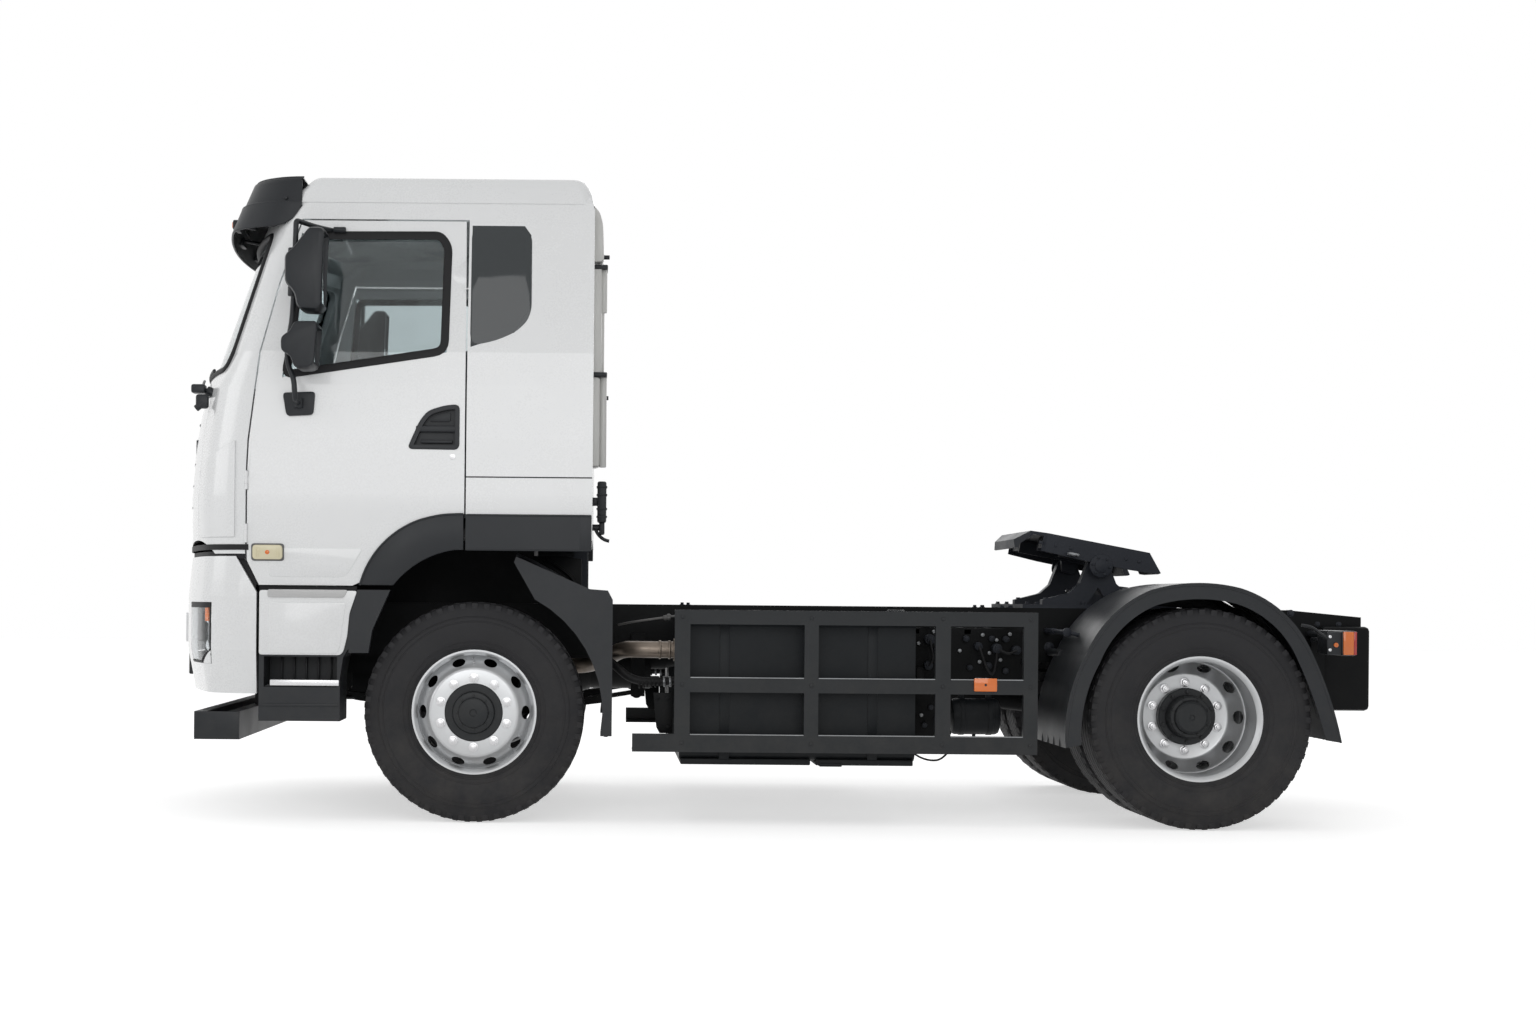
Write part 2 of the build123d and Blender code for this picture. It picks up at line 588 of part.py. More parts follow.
# ---- rear wings, battery box and tail lamps ---------------------------------------------------------------
# side outline as (distance behind the axle, height), in chains of arcs through every second point
REAR_WING = [(-656, 393), (-643, 624), (-564, 840), (-421, 1048), (-254, 1155), (-63, 1190), (177, 1168),
             (370, 1064), (516, 874), (614, 634), (669, 429)]
WING_SHEET = 8.0
WING_LIP = 78.0
WING_Y = (602.0, 1255.0)
WING_STAYS = ((-559.0, 836.0), (514.0, 868.0))


def wing_line(depth):
    """The wing's side line, moved towards the wheel's middle by depth."""
    line = []
    for x, z in REAR_WING:
        reach = math.hypot(x, z - TYRE_R)
        share = 1 - depth / reach
        line.append((WHEELBASE + x * share, TYRE_R + (z - TYRE_R) * share))
    return line


def arcs(points):
    """A chain of arcs, each through three points."""
    return [ThreePointArc(*points[i:i + 3]) for i in range(0, len(points) - 1, 2)]


def wing_strip(depth):
    """The face between the wing's side line and the line at depth."""
    outside, inside = wing_line(0), wing_line(depth)
    ends = [Line(outside[-1], inside[-1]), Line(inside[0], outside[0])]
    return make_face(arcs(outside) + arcs(inside[::-1]) + ends)


def rear_wing():
    solid = along_y(wing_strip(WING_SHEET), -WING_Y[1], -WING_Y[0])
    solid += along_y(wing_strip(WING_LIP), -WING_Y[1], -WING_Y[1] + WING_SHEET)
    for x, z in WING_STAYS:
        solid += rod_y(WHEELBASE + x, z, 20, -WING_Y[0] - 120, -FRAME_HALF)
    return solid


write_both("rear_wings", rear_wing())

BATTERY_X = (WHEELBASE + 705.0, WHEELBASE + REAR_OVERHANG)
battery = block(BATTERY_X, (-FRAME_HALF + RAIL_FLANGE, FRAME_HALF - RAIL_FLANGE), (548, 980))
battery = fillet(battery.edges().filter_by(Axis.Y), 40)
write("battery_box", battery)

TAIL_LAMP_X = (WHEELBASE + 755.0, WHEELBASE + 825.0)
tail_lamp = fillet(block(TAIL_LAMP_X, (-1000, -640), (841, 964)).edges().filter_by(Axis.Y), 12)
tail_lamp += block((TAIL_LAMP_X[0] - 65, TAIL_LAMP_X[0] + 7), (-990, -980), (850, 955))
tail_lamp += rod_y(TAIL_LAMP_X[0] + 35, 938, 22, -660, -FRAME_HALF)
write_both("tail_lamps", tail_lamp)

# ---- fifth wheel -------------------------------------------------------------------------------------
PIVOT_X = WHEELBASE - 300.0
PIVOT_Z = 1283.0
PIVOT_R = 20.0
REST_TILT = 10.5                # rear-down, as it parks
PLATE_TOP = 115.0               # plate's face above its pivot
PLATE_T = 16.0
PLATE_HALF = 450.0
PEDESTAL_Y = (330.0, 390.0)
BASE_TOP = RAIL_TOP + 20
LOCK_R = 25.6                   # jaws about a two-inch kingpin


def fifth_base():
    """A mounting plate on the rails with two cast pedestals."""
    solid = block((PIVOT_X - 400, PIVOT_X + 400), (-FRAME_HALF, FRAME_HALF), (RAIL_TOP, BASE_TOP))
    side = [(-290, BASE_TOP), (-290, BASE_TOP + 24), (-150, BASE_TOP + 60), (-95, BASE_TOP + 110),
            (-60, PIVOT_Z), (-44, PIVOT_Z + 40), (0, PIVOT_Z + 52), (44, PIVOT_Z + 40), (60, PIVOT_Z),
            (95, BASE_TOP + 110), (150, BASE_TOP + 60), (290, BASE_TOP + 24), (290, BASE_TOP)]
    outline = polygon([(PIVOT_X + x, z) for x, z in side])
    arch = along_y(polygon([(PIVOT_X - 60, BASE_TOP - 1), (PIVOT_X, BASE_TOP + 90),
                            (PIVOT_X + 60, BASE_TOP - 1)]),
                   -500, 500)
    for y in (-PEDESTAL_Y[1], PEDESTAL_Y[0]):
        pedestal = along_y(outline, y, y + PEDESTAL_Y[1] - PEDESTAL_Y[0])
        solid += pedestal - rod_y(PIVOT_X, PIVOT_Z, PIVOT_R + 0.3, -500, 500) - (arch & block(
            (PIVOT_X - 400, PIVOT_X + 400), (-500, 500), (BASE_TOP, 1400)))
    return solid


def fifth_plate():
    """The coupling plate, drawn level about its pivot and laid back to its rest tilt."""
    side = [(-380, PLATE_TOP), (-435, 62), (-425, 20), (-340, 22), (-150, 12), (150, 8), (300, 14), (312, 22),
            (235, PLATE_TOP)]
    front = [(-460, -200), (-380, -PLATE_HALF + 60), (-300, -PLATE_HALF), (340, -PLATE_HALF)]
    around = Polygon(*(front + [(x, -y) for x, y in reversed(front)]), align=None)
    body = along_y(polygon(side), -PLATE_HALF, PLATE_HALF) & extrude(Pos(0, 0, -100) * around, amount=400)
    hollow = [(-365, PLATE_TOP - PLATE_T), (-412, 40), (-412, -10), (290, -10), (225, PLATE_TOP - PLATE_T)]
    body -= along_y(polygon(hollow), -PLATE_HALF + 14, PLATE_HALF - 14)
    # lock: a box about the pin's hole, with the open throat behind it
    body += block((-110, 110), (-110, 110), (40, PLATE_TOP - 2))
    body -= rod_z(0, 0, LOCK_R, 0, PLATE_TOP + 1)
    throat = Polygon((60, -34), (400, -230), (400, 230), (60, 34), align=None)
    body -= extrude(throat, amount=PLATE_TOP + 10)
    # cheeks beside the throat keep the horns stiff
    for y0, y1 in ((-250, -236), (236, 250)):
        body += block((-300, 226), (y0, y1), (30, PLATE_TOP - 2))
    # ears and pivot pins
    for low, high in ((PEDESTAL_Y[1] + 6, PLATE_HALF), (PEDESTAL_Y[0] - 46, PEDESTAL_Y[0] - 6)):
        ear = along_y(polygon([(-70, PLATE_TOP - 2), (-34, -30), (34, -30), (70, PLATE_TOP - 2)]), -high,
                      -low)
        body += ear + mirrored(ear)
    pin = rod_y(0, 0, PIVOT_R, -PLATE_HALF + 10, -PEDESTAL_Y[0] + 40)
    body += pin + mirrored(pin)
    return Pos(PIVOT_X, 0, PIVOT_Z) * Rot(0, REST_TILT, 0) * body


write("fifth_wheel_base", fifth_base())
write("fifth_wheel_plate", fifth_plate())

# ---- cab: outline and seams ---------------------------------------------------------------------------
CAB_BACK = 565.0
CAB_WALL = 50.0                 # outer panel to inner lining
BACK_FACE = CAB_BACK - CAB_WALL
CAB_LOW = 1143.0                # under edge of the doors
FLOOR_REAR = 1382.0             # underside of the rear floor, over the wheels
NOSE_LOW = 1292.0               # under edge of the front, above the bumper
DOOR_TOP = 2915.0
SEAM = 8.0                      # open seams round the doors and the service flap
ROOF_TOP = 3126.0
CAB = [(1120, 1224, -1500, 2800, 260), (1300, 1240, -1540, 2800, 260), (1580, 1245, -1545, 2800, 260),
       (1850, 1245, -1525, 2800, 260), (2110, 1235, -1480, 2800, 260), (2270, 1220, -1430, 2500, 160),
       (2900, 1130, -1205, 2500, 160), (3010, 1105, -1160, 2500, 160), (3070, 1070, -1080, 2500, 160),
       (3106, 1010, -770, 2500, 160), (ROOF_TOP, 900, -150, 2500, 160)]
TILT_X = -1400.0                # cab tilt pivots, just behind the bumper's top edge
TILT_Z = 1180.0
TILT_CLEAR = 182.0              # nothing of the cab is nearer to the pivot than the bumper's edge


def cab_volume(inset, drop=None):
    """The whole cab, drawn in by inset. Its roof comes down by drop, or by inset where none is given."""
    drop = inset if drop is None else drop
    rows = [(z - (drop if z > 2950 else 0), *rest) for z, *rest in CAB]
    return nose_volume(rows, CAB_BACK - inset, inset)


def prism(points, half=1400.0):
    """A cutter with a side outline, through the whole width."""
    return along_y(polygon(points), -half, half)


def left_prism(points, inner=600.0):
    return along_y(polygon(points), -1400, -inner)


def arc_points(start, middle, end, count):
    """Points along an arc through three points."""
    arc = ThreePointArc(start, middle, end)
    return [((arc @ (i / count)).X, (arc @ (i / count)).Y) for i in range(count + 1)]


# wheel arch in the cab's side, and the lower edge of its trim
ARCH_TOP = 1490.0
ARCH_LOW = 1318.0
CAB_ARCH = [(-585, CAB_LOW)] + arc_points((-525, 1170), (-404, 1339), (-261, 1446), 6) + [(-94, ARCH_TOP)]
TRIM_ARCH = arc_points((-92, ARCH_LOW), (-260, 1259), (-388, CAB_LOW), 6)
cab_side = prism([(-1700, NOSE_LOW), (-1128, NOSE_LOW), (-1034, CAB_LOW)] + CAB_ARCH
                 + [(BACK_FACE, ARCH_TOP), (BACK_FACE, FLOOR_REAR), (CAB_BACK, FLOOR_REAR), (CAB_BACK, 2980),
                    (545, 3045), (500, 3090), (430, ROOF_TOP + 5), (-1700, ROOF_TOP + 5)])
outer = cab_volume(0) & cab_side
inner = cab_volume(CAB_WALL)
pane_out = cab_volume(18)
pane_in = cab_volume(24)
shell = outer - inner

DOOR_HINGE_X = -1096.0
DOOR_HINGE_Y = 1247.0
DOOR_REACH = 1046.0             # hinge to the door's rear edge
HINGE_R = 9.0                   # barrels of the door hinges, on the seam
HINGE_PIN_R = 4.5
HINGE_Z = (1345.0, 1600.0)      # lower end of each hinge
HINGE_H = 90.0
DOOR_FRONT = [(-850, DOOR_TOP), (-952, 2596), (-1035, 2265), (-1050, 2135), (-1085, 1837), (-1091, 1700),
              (-1092, 1261),
              (-1034, CAB_LOW)]
QUARTER_X = DOOR_HINGE_X + DOOR_REACH + SEAM

# ---- cab body --------------------------------------------------------------------------------------------
roof = shell & block((-1700, 700), (-1400, 1400), (DOOR_TOP + SEAM, 3200))
write("cab_roof", roof)

back = shell & block((BACK_FACE, 700), (-1400, 1400), (FLOOR_REAR, DOOR_TOP + SEAM))
write("cab_back", back)

QUARTER_WINDOW = [(QUARTER_X + 14, 2895), (226, 2895), (258, 2850), (256, 2484), (182, 2368),
                  (QUARTER_X + 14, 2296)]
quarter = shell & left_prism([(QUARTER_X, 1400), (BACK_FACE, 1400), (BACK_FACE, DOOR_TOP + SEAM),
                              (QUARTER_X, DOOR_TOP + SEAM)])
quarter_hole = left_prism(QUARTER_WINDOW)
write_both("cab_sides", quarter - quarter_hole)
write_both("quarter_windows", (cab_volume(1) - cab_volume(7)) & quarter_hole)

# front: corner panels, pillars, windscreen frame and firewall
FLAP_HALF = 930.0
FLAP_TOP = 2070.0
SCREEN_LOW = 2186.0
SCREEN_TOP = 2872.0
SCREEN_HALF = (1082.0, 992.0)   # at its low and top edges
FIREWALL_X = (-1250.0, -1215.0)


def front_region():
    seam = [(x - SEAM, z) for x, z in DOOR_FRONT[:-1]]
    seam = [(seam[0][0] + 3, DOOR_TOP + SEAM)] + seam[1:]
    return prism(seam + [(DOOR_FRONT[-2][0] - SEAM, NOSE_LOW), (-1700, NOSE_LOW), (-1700, DOOR_TOP + SEAM)])


screen_outline = polygon([(-SCREEN_HALF[0], SCREEN_LOW), (SCREEN_HALF[0], SCREEN_LOW),
                          (SCREEN_HALF[1], SCREEN_TOP),
                          (-SCREEN_HALF[1], SCREEN_TOP)], 60)
screen_hole = along_x(screen_outline, -1700, -830)
flap_hole = block((-1700, -1290), (-FLAP_HALF - SEAM, FLAP_HALF + SEAM), (NOSE_LOW - 1, FLAP_TOP + SEAM))
swing = rod_y(TILT_X, TILT_Z, TILT_CLEAR, -1400, 1400)
front = (shell & front_region()) - screen_hole - flap_hole - swing
front += (cab_volume(25) & block(FIREWALL_X, (-1400, 1400), (1400, SCREEN_LOW - 20))) & outer
# upper lip under the screen joins the corner panels to the firewall
front += cab_volume(25) & block((-1500, FIREWALL_X[1]), (-1400, 1400), (SCREEN_LOW - 60, SCREEN_LOW - 20))


def hinges(low, high, radius):
    """Left hinge barrels, from a fraction low to a fraction high of each hinge's height."""
    rods = [rod_z(DOOR_HINGE_X, -DOOR_HINGE_Y, radius, z + low * HINGE_H,
                  z + high * HINGE_H) for z in HINGE_Z]
    return rods[0] + rods[1]


barrels = hinges(0, 0.3, HINGE_R) + hinges(0.7, 1, HINGE_R) + hinges(0, 1, HINGE_PIN_R)
room = hinges(0.3, 0.7, HINGE_R + 1.5)
front = front - room - mirrored(room) + barrels + mirrored(barrels)
write("cab_front", front)
write("windscreen", (pane_out - pane_in) & screen_hole)

FLAP_LOW = 1300.0
GRILLE_HALF = 640.0
GRILLE_SLOT = 52.0
GRILLE_Z = (1480.0, 1590.0, 1700.0, 1810.0)     # lower edge of each slot
flap = shell & block((-1700, -1290), (-FLAP_HALF, FLAP_HALF), (FLAP_LOW, FLAP_TOP))
flap -= swing
for z in GRILLE_Z:
    flap -= block((-1700, -1290), (-GRILLE_HALF, GRILLE_HALF), (z, z + GRILLE_SLOT))
write("front_flap", flap)

# ---- cab floor with the engine tunnel, and its tilt arms ----------------------------------------
FLOOR_T = 40.0
FLOOR_LOW = 1190.0              # underside in front, by the doors
FLOOR_STEP = -600.0
TUNNEL_HALF = 440.0
TUNNEL_TOP = 1500.0
SILL_Y = 1176.0
TOE_Y = 1110.0                  # the toe boards end inside the front corners


def floor_section(low):
    """A (Y, Z) section: side floors joined by the tunnel."""
    top = low + FLOOR_T
    return [(-SILL_Y, low), (-TUNNEL_HALF, low), (-TUNNEL_HALF, TUNNEL_TOP - FLOOR_T),
            (TUNNEL_HALF, TUNNEL_TOP - FLOOR_T),
            (TUNNEL_HALF, low), (SILL_Y, low), (SILL_Y, top), (TUNNEL_HALF + FLOOR_T, top),
            (TUNNEL_HALF + FLOOR_T, TUNNEL_TOP), (-TUNNEL_HALF - FLOOR_T, TUNNEL_TOP),
            (-TUNNEL_HALF - FLOOR_T, top),
            (-SILL_Y, top)]


FLOOR_FRONT = FIREWALL_X[1]
floor = along_x(polygon(floor_section(FLOOR_LOW)), -1060, FLOOR_STEP + FLOOR_T)
floor += along_x(polygon(floor_section(FLOOR_REAR)), FLOOR_STEP, BACK_FACE)
floor += along_x(polygon([(TUNNEL_HALF, TUNNEL_TOP - FLOOR_T), (TUNNEL_HALF + FLOOR_T, TUNNEL_TOP - FLOOR_T),
                          (TUNNEL_HALF + FLOOR_T, TUNNEL_TOP), (-TUNNEL_HALF - FLOOR_T, TUNNEL_TOP),
                          (-TUNNEL_HALF - FLOOR_T, TUNNEL_TOP - FLOOR_T)]), FLOOR_FRONT, -1060)
for y0, y1 in ((-SILL_Y, -TUNNEL_HALF), (TUNNEL_HALF, SILL_Y)):
    floor += block((FLOOR_STEP, FLOOR_STEP + FLOOR_T), (y0, y1), (FLOOR_LOW, FLOOR_REAR + FLOOR_T))
    # toe board from the floor's front edge up to the firewall
    toe = polygon([(-1060, FLOOR_LOW), (-1060 + FLOOR_T, FLOOR_LOW), (-1060 + FLOOR_T, FLOOR_LOW + FLOOR_T),
                   (FLOOR_FRONT, 1480), (FLOOR_FRONT, 1425)])
    floor += along_y(toe, max(y0, -TOE_Y), min(y1, TOE_Y))
ARM_Y = (350.0, 398.0)
ARM_BORE = 18.3
arm_side = [(TILT_X - 34, TILT_Z - 20), (TILT_X, TILT_Z - 36), (-1060, TILT_Z + 10), (-900, TILT_Z + 10),
            (-900, TUNNEL_TOP - FLOOR_T + 2), (-940, TUNNEL_TOP - FLOOR_T + 2), (-1060, TILT_Z + 60),
            (TILT_X, TILT_Z + 36),
            (TILT_X - 34, TILT_Z + 20)]
for y in (-ARM_Y[1], ARM_Y[0]):
    floor += along_y(polygon(arm_side), y, y + ARM_Y[1] - ARM_Y[0])
floor -= rod_y(TILT_X, TILT_Z, ARM_BORE, -500, 500)
write("cab_floor", floor)

# front tilt brackets and rear posts stand on the frame
mount = along_y(polygon([(TILT_X - 34, TILT_Z - 34), (-1250, RAIL_TOP), (-1070, RAIL_TOP),
                         (-1070, RAIL_TOP + 30),
                         (TILT_X + 60, TILT_Z + 36), (TILT_X - 34, TILT_Z + 36)]), -FRAME_HALF, -ARM_Y[1] - 6)
mount += rod_y(TILT_X, TILT_Z, ARM_BORE - 0.3, -FRAME_HALF + 2, -ARM_Y[0] + 4)
post = block((470, 540), (-FRAME_HALF, -FRAME_HALF + 70), (RAIL_TOP, FLOOR_REAR - RUNNING_GAP))
write("cab_mounts", mount, mirrored(mount), post, mirrored(post))

# ---- doors -------------------------------------------------------------------------------------------------
DOOR_WINDOW = [(-855, 2850), (-181, 2856), (-132, 2789), (-142, 2268), (-931, 2141)]
door_outline = DOOR_FRONT[::-1] + [(0, DOOR_TOP), (0, ARCH_TOP)] + CAB_ARCH[::-1]
door_reach = rod_z(DOOR_HINGE_X, -DOOR_HINGE_Y, DOOR_REACH, 1000, 3000)
window_hole = left_prism(DOOR_WINDOW)
door = (shell & left_prism(door_outline) & door_reach) - window_hole
door = door - hinges(-0.02, 0.3, HINGE_R + 1.5) - hinges(0.7, 1.02, HINGE_R + 1.5)
door += hinges(0.31, 0.69, HINGE_R)
door -= hinges(-0.1, 1.1, HINGE_PIN_R + HUB_GAP)
write_pair("door", door)
write_pair("door_glass", (pane_out - pane_in) & window_hole)

# black arch trims: one rides on each door, one on each cab side
trim_skin = cab_volume(-6) - cab_volume(24)
door_trim = [(0, ARCH_LOW)] + TRIM_ARCH + CAB_ARCH + [(0, ARCH_TOP)]
write_pair("door_trim", trim_skin & left_prism(door_trim) & door_reach)
side_trim = [(QUARTER_X, ARCH_LOW), (BACK_FACE, ARCH_LOW), (BACK_FACE, ARCH_TOP), (QUARTER_X, ARCH_TOP)]
write_both("side_trims", trim_skin & left_prism(side_trim))

# ---- sun visor ----------------------------------------------------------------------------------
VISOR = [(2890, 1100, -1330, 4000, 280), (3006, 1100, -1282, 4000, 280), (3129, 1080, -1229, 4000, 270),
         (3145, 1050, -1190, 4000, 250)]
VISOR_LOW, VISOR_TOP = VISOR[0][0], VISOR[-1][0]
VISOR_T = 14.0
VISOR_BACK = -880.0
visor = nose_volume(VISOR, VISOR_BACK + 200)
visor -= nose_volume([(VISOR_LOW - 1, *VISOR[0][1:])] + VISOR[1:-1] + [(VISOR_TOP - VISOR_T, *VISOR[-1][1:])],
                     VISOR_BACK + VISOR_T + 201, VISOR_T)
visor &= block((-1600, VISOR_BACK), (-1200, 1200), (VISOR_LOW - 10, VISOR_TOP + 10))
# its lower edge sweeps up to the door's front corner
visor -= prism([(-1000, VISOR_LOW - 20), (-1000, VISOR_LOW + 3), (-947, VISOR_LOW + 17),
                (-906, VISOR_LOW + 43), (-872, VISOR_LOW + 92), (-860, VISOR_LOW + 92),
                (-860, VISOR_LOW - 20)])
visor -= cab_volume(0)
write("sun_visor", max(visor.solids(), key=lambda part: part.volume))

# ---- mirrors ------------------------------------------------------------------------------------
MIRROR_Y = (1310.0, 1520.0)
MIRROR_ARM_Y = 1390.0
MIRROR_ARM_X = -846.0
ARM_R = 14.0


def mirrors():
    """Two housings on a bracket, which stands on the door's skin at its foot and its head."""
    housings = ((-885, -690, 2426, 2821), (-899, -725, 2155, 2378))
    solid = rod_z(MIRROR_ARM_X, -MIRROR_ARM_Y, ARM_R, 2000, 2865)
    for front, rear, low, top in housings:
        body = block((front, rear), (-MIRROR_Y[1], -MIRROR_Y[0]), (low, top))
        body = fillet(body.edges().filter_by(Axis.Y), 45)
        solid += body
    foot = rod_y(MIRROR_ARM_X, 2014, ARM_R, -MIRROR_ARM_Y, -1200) + block((-925, -769), (-1262, -1200),
                                                                          (1958, 2070))
    head = block((-860, -668), (-MIRROR_ARM_Y - ARM_R, -1100), (2855, 2872))
    return solid + (foot + head - cab_volume(0))


write_pair("mirrors", mirrors())

# ---- inside the cab -----------------------------------------------------------------------------
DRIVER_Y = -620.0
DASH_REAR = -930.0
WHEEL_RING_R = 225.0


def dashboard():
    side = [(FIREWALL_X[1], 1500), (-1130, 1520), (-1060, 1760), (DASH_REAR, 1800), (DASH_REAR, 1960),
            (-1010, 2060),
            (FIREWALL_X[1], 2080)]
    return along_y(polygon(side), -1080, 1080) & cab_volume(CAB_WALL + 6)


def steering_wheel():
    ring = Torus(WHEEL_RING_R, 17) + Cylinder(62, 40)
    for turn in (0, 120, 240):
        ring += Rot(0, 0, turn) * Pos(WHEEL_RING_R / 2, 0, 0) * Box(WHEEL_RING_R, 40, 16)
    ring += Pos(0, 0, -170) * Cylinder(38, 320)
    return Pos(-780, DRIVER_Y, 1985) * Rot(0, 32, 0) * ring


def seat(y):
    """Pedestal, cushion, back and head rest, as one padded piece."""
    floor_top = FLOOR_REAR + FLOOR_T
    solid = block((-520, -180), (y - 134, y + 134), (floor_top, 1600))
    solid += fillet(block((-600, -110), (y - 255, y + 255), (1600, 1740)).edges(), 30)
    rest = polygon([(-230, 1700), (-110, 1700), (20, 2330), (-60, 2345), (-100, 2330)])
    solid += along_y(rest, y - 240, y + 240)
    return solid + block((-70, 10), (y - 140, y + 140), (2300, 2480))


bunk = block((150, BACK_FACE - 5), (-1140, 1140), (1620, 1760)) + block((190, BACK_FACE), (-430, 430),
                                                                        (TUNNEL_TOP, 1620))
write("dashboard", dashboard())
write("steering_wheel", steering_wheel() - dashboard())
write("seats", seat(DRIVER_Y), seat(-DRIVER_Y), bunk)

# ---- files --------------------------------------------------------------------------------------
os.makedirs("parts", exist_ok=True)
for name, shape in PARTS.items():
    export_step(shape, f"parts/{name}.step")
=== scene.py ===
# %% [markdown]
# # A cab-over tractor unit, dressed piece by piece
# The solids of the vehicle come in as a frame that never moves: panels, doors, axles and wheels at their
# real size. Everything added here sits on that frame and rides with the body that carries it, so a door's
# handle swings with the door and a wheel nut turns with its wheel.

# %% Load the frame and keep its size
import math

import bpy
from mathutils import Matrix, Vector


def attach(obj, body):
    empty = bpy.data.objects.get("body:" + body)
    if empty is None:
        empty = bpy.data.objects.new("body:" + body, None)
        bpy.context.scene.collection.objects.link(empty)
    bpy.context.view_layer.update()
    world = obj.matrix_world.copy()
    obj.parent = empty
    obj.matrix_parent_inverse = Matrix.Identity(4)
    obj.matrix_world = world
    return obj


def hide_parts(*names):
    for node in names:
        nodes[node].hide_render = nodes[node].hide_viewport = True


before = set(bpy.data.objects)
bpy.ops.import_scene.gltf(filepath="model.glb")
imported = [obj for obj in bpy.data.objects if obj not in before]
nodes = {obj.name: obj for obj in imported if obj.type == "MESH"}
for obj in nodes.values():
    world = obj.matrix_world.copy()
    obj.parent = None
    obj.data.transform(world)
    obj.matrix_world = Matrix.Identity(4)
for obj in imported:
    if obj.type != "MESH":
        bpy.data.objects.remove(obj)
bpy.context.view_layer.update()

# %% [markdown]
# ## Places that everything else is measured from
# A lorry is measured from its front axle, so the helper `at` takes millimetres behind the axle, to the
# right of the middle and above the ground, and gives Blender's metres. The wheels' middles and widths
# follow from the axles, and the sides are written for the left and mirrored to the right.

# %% Driving places
FRONT_AXLE = -1.520             # metres, along the vehicle
REAR_X = 3500.0                 # millimetres behind the front axle
HUB_MM = 535.0
TYRE_OUT = 535.0
FRONT_TYRE_Y = 1020.0
REAR_TYRE_Y = (763.0, 1097.0)


def at(x, y, z):
    """A point from millimetres behind the front axle, right of the middle and above the ground."""
    return Vector((FRONT_AXLE + x / 1000, y / 1000, z / 1000))


print("front axle at", round(FRONT_AXLE, 3), "rear axle at", round(at(REAR_X, 0, 0).x, 3))

# %% [markdown]
# ## Effects that several finishes share
# Real paint, plastic and rubber are never one flat value. Three effects cover most of it: a fine grain
# that moves the roughness and the surface a little, road dust that is thick near the ground and thin
# above, and a soft mottle that moves the colour a little. Each is a node group, built once, with its own
# inputs.


# %% Node group helper
def new_group(name, inputs, outputs):
    """An empty shader node group with float or colour sockets."""
    group = bpy.data.node_groups.new(name, "ShaderNodeTree")
    for label, kind, value in inputs:
        socket = group.interface.new_socket(label, in_out="INPUT", socket_type=kind)
        if kind != "NodeSocketVector":
            socket.default_value = value
    for label, kind in outputs:
        group.interface.new_socket(label, in_out="OUTPUT", socket_type=kind)
    return group, group.nodes.new("NodeGroupInput"), group.nodes.new("NodeGroupOutput")


def feed(tree, socket, value):
    """Sets a socket to a number, or links it to the socket given as value."""
    if isinstance(value, (int, float)):
        socket.default_value = value
    else:
        tree.links.new(value, socket)


def math_node(tree, operation, first, second):
    node = tree.nodes.new("ShaderNodeMath")
    node.operation = operation
    feed(tree, node.inputs[0], first)
    feed(tree, node.inputs[1], second)
    return node.outputs[0]


def noise_node(tree, vector, scale, detail=3.0, roughness=0.55):
    node = tree.nodes.new("ShaderNodeTexNoise")
    node.inputs["Detail"].default_value = detail
    node.inputs["Roughness"].default_value = roughness
    tree.links.new(vector, node.inputs["Vector"])
    feed(tree, node.inputs["Scale"], scale)
    return node.outputs["Fac"]


def range_node(tree, value, from_low, from_high, to_low, to_high):
    node = tree.nodes.new("ShaderNodeMapRange")
    tree.links.new(value, node.inputs["Value"])
    ends = {"From Min": from_low, "From Max": from_high, "To Min": to_low, "To Max": to_high}
    for label, end in ends.items():
        feed(tree, node.inputs[label], end)
    return node.outputs["Result"]


print("helpers for node groups are ready")

# %% Grain, dust and streaks
FLOAT = "NodeSocketFloat"
grain, grain_in, grain_out = new_group("Fine grain", [
    ("Vector", "NodeSocketVector", None), ("Scale", FLOAT, 200.0), ("Smoothest", FLOAT, 0.3),
    ("Roughest", FLOAT, 0.5)], [("Roughness", FLOAT), ("Height", FLOAT)])
fine = noise_node(grain, grain_in.outputs["Vector"], grain_in.outputs["Scale"], 4.0, 0.6)
broad = noise_node(grain, grain_in.outputs["Vector"], 3.0, 3.0)
mixed = math_node(grain, "MULTIPLY", math_node(grain, "ADD", fine, broad), 0.5)
shine_range = range_node(grain, mixed, 0.35, 0.65, grain_in.outputs["Smoothest"],
    grain_in.outputs["Roughest"])
grain.links.new(shine_range, grain_out.inputs["Roughness"])
grain.links.new(fine, grain_out.inputs["Height"])

dust, dust_in, dust_out = new_group("Road dust", [
    ("Vector", "NodeSocketVector", None), ("Top", FLOAT, 1.0), ("Amount", FLOAT, 0.3)],
    [("Mask", FLOAT)])
split = dust.nodes.new("ShaderNodeSeparateXYZ")
dust.links.new(dust_in.outputs["Vector"], split.inputs[0])
low = range_node(dust, split.outputs["Z"], 0.0, dust_in.outputs["Top"], 1.0, 0.0)
patch = range_node(dust, noise_node(dust, dust_in.outputs["Vector"], 9.0, 6.0, 0.65), 0.35, 0.7, 0.0, 1.0)
lying = math_node(dust, "MULTIPLY", low, patch)
dust.links.new(math_node(dust, "MULTIPLY", lying, dust_in.outputs["Amount"]), dust_out.inputs["Mask"])

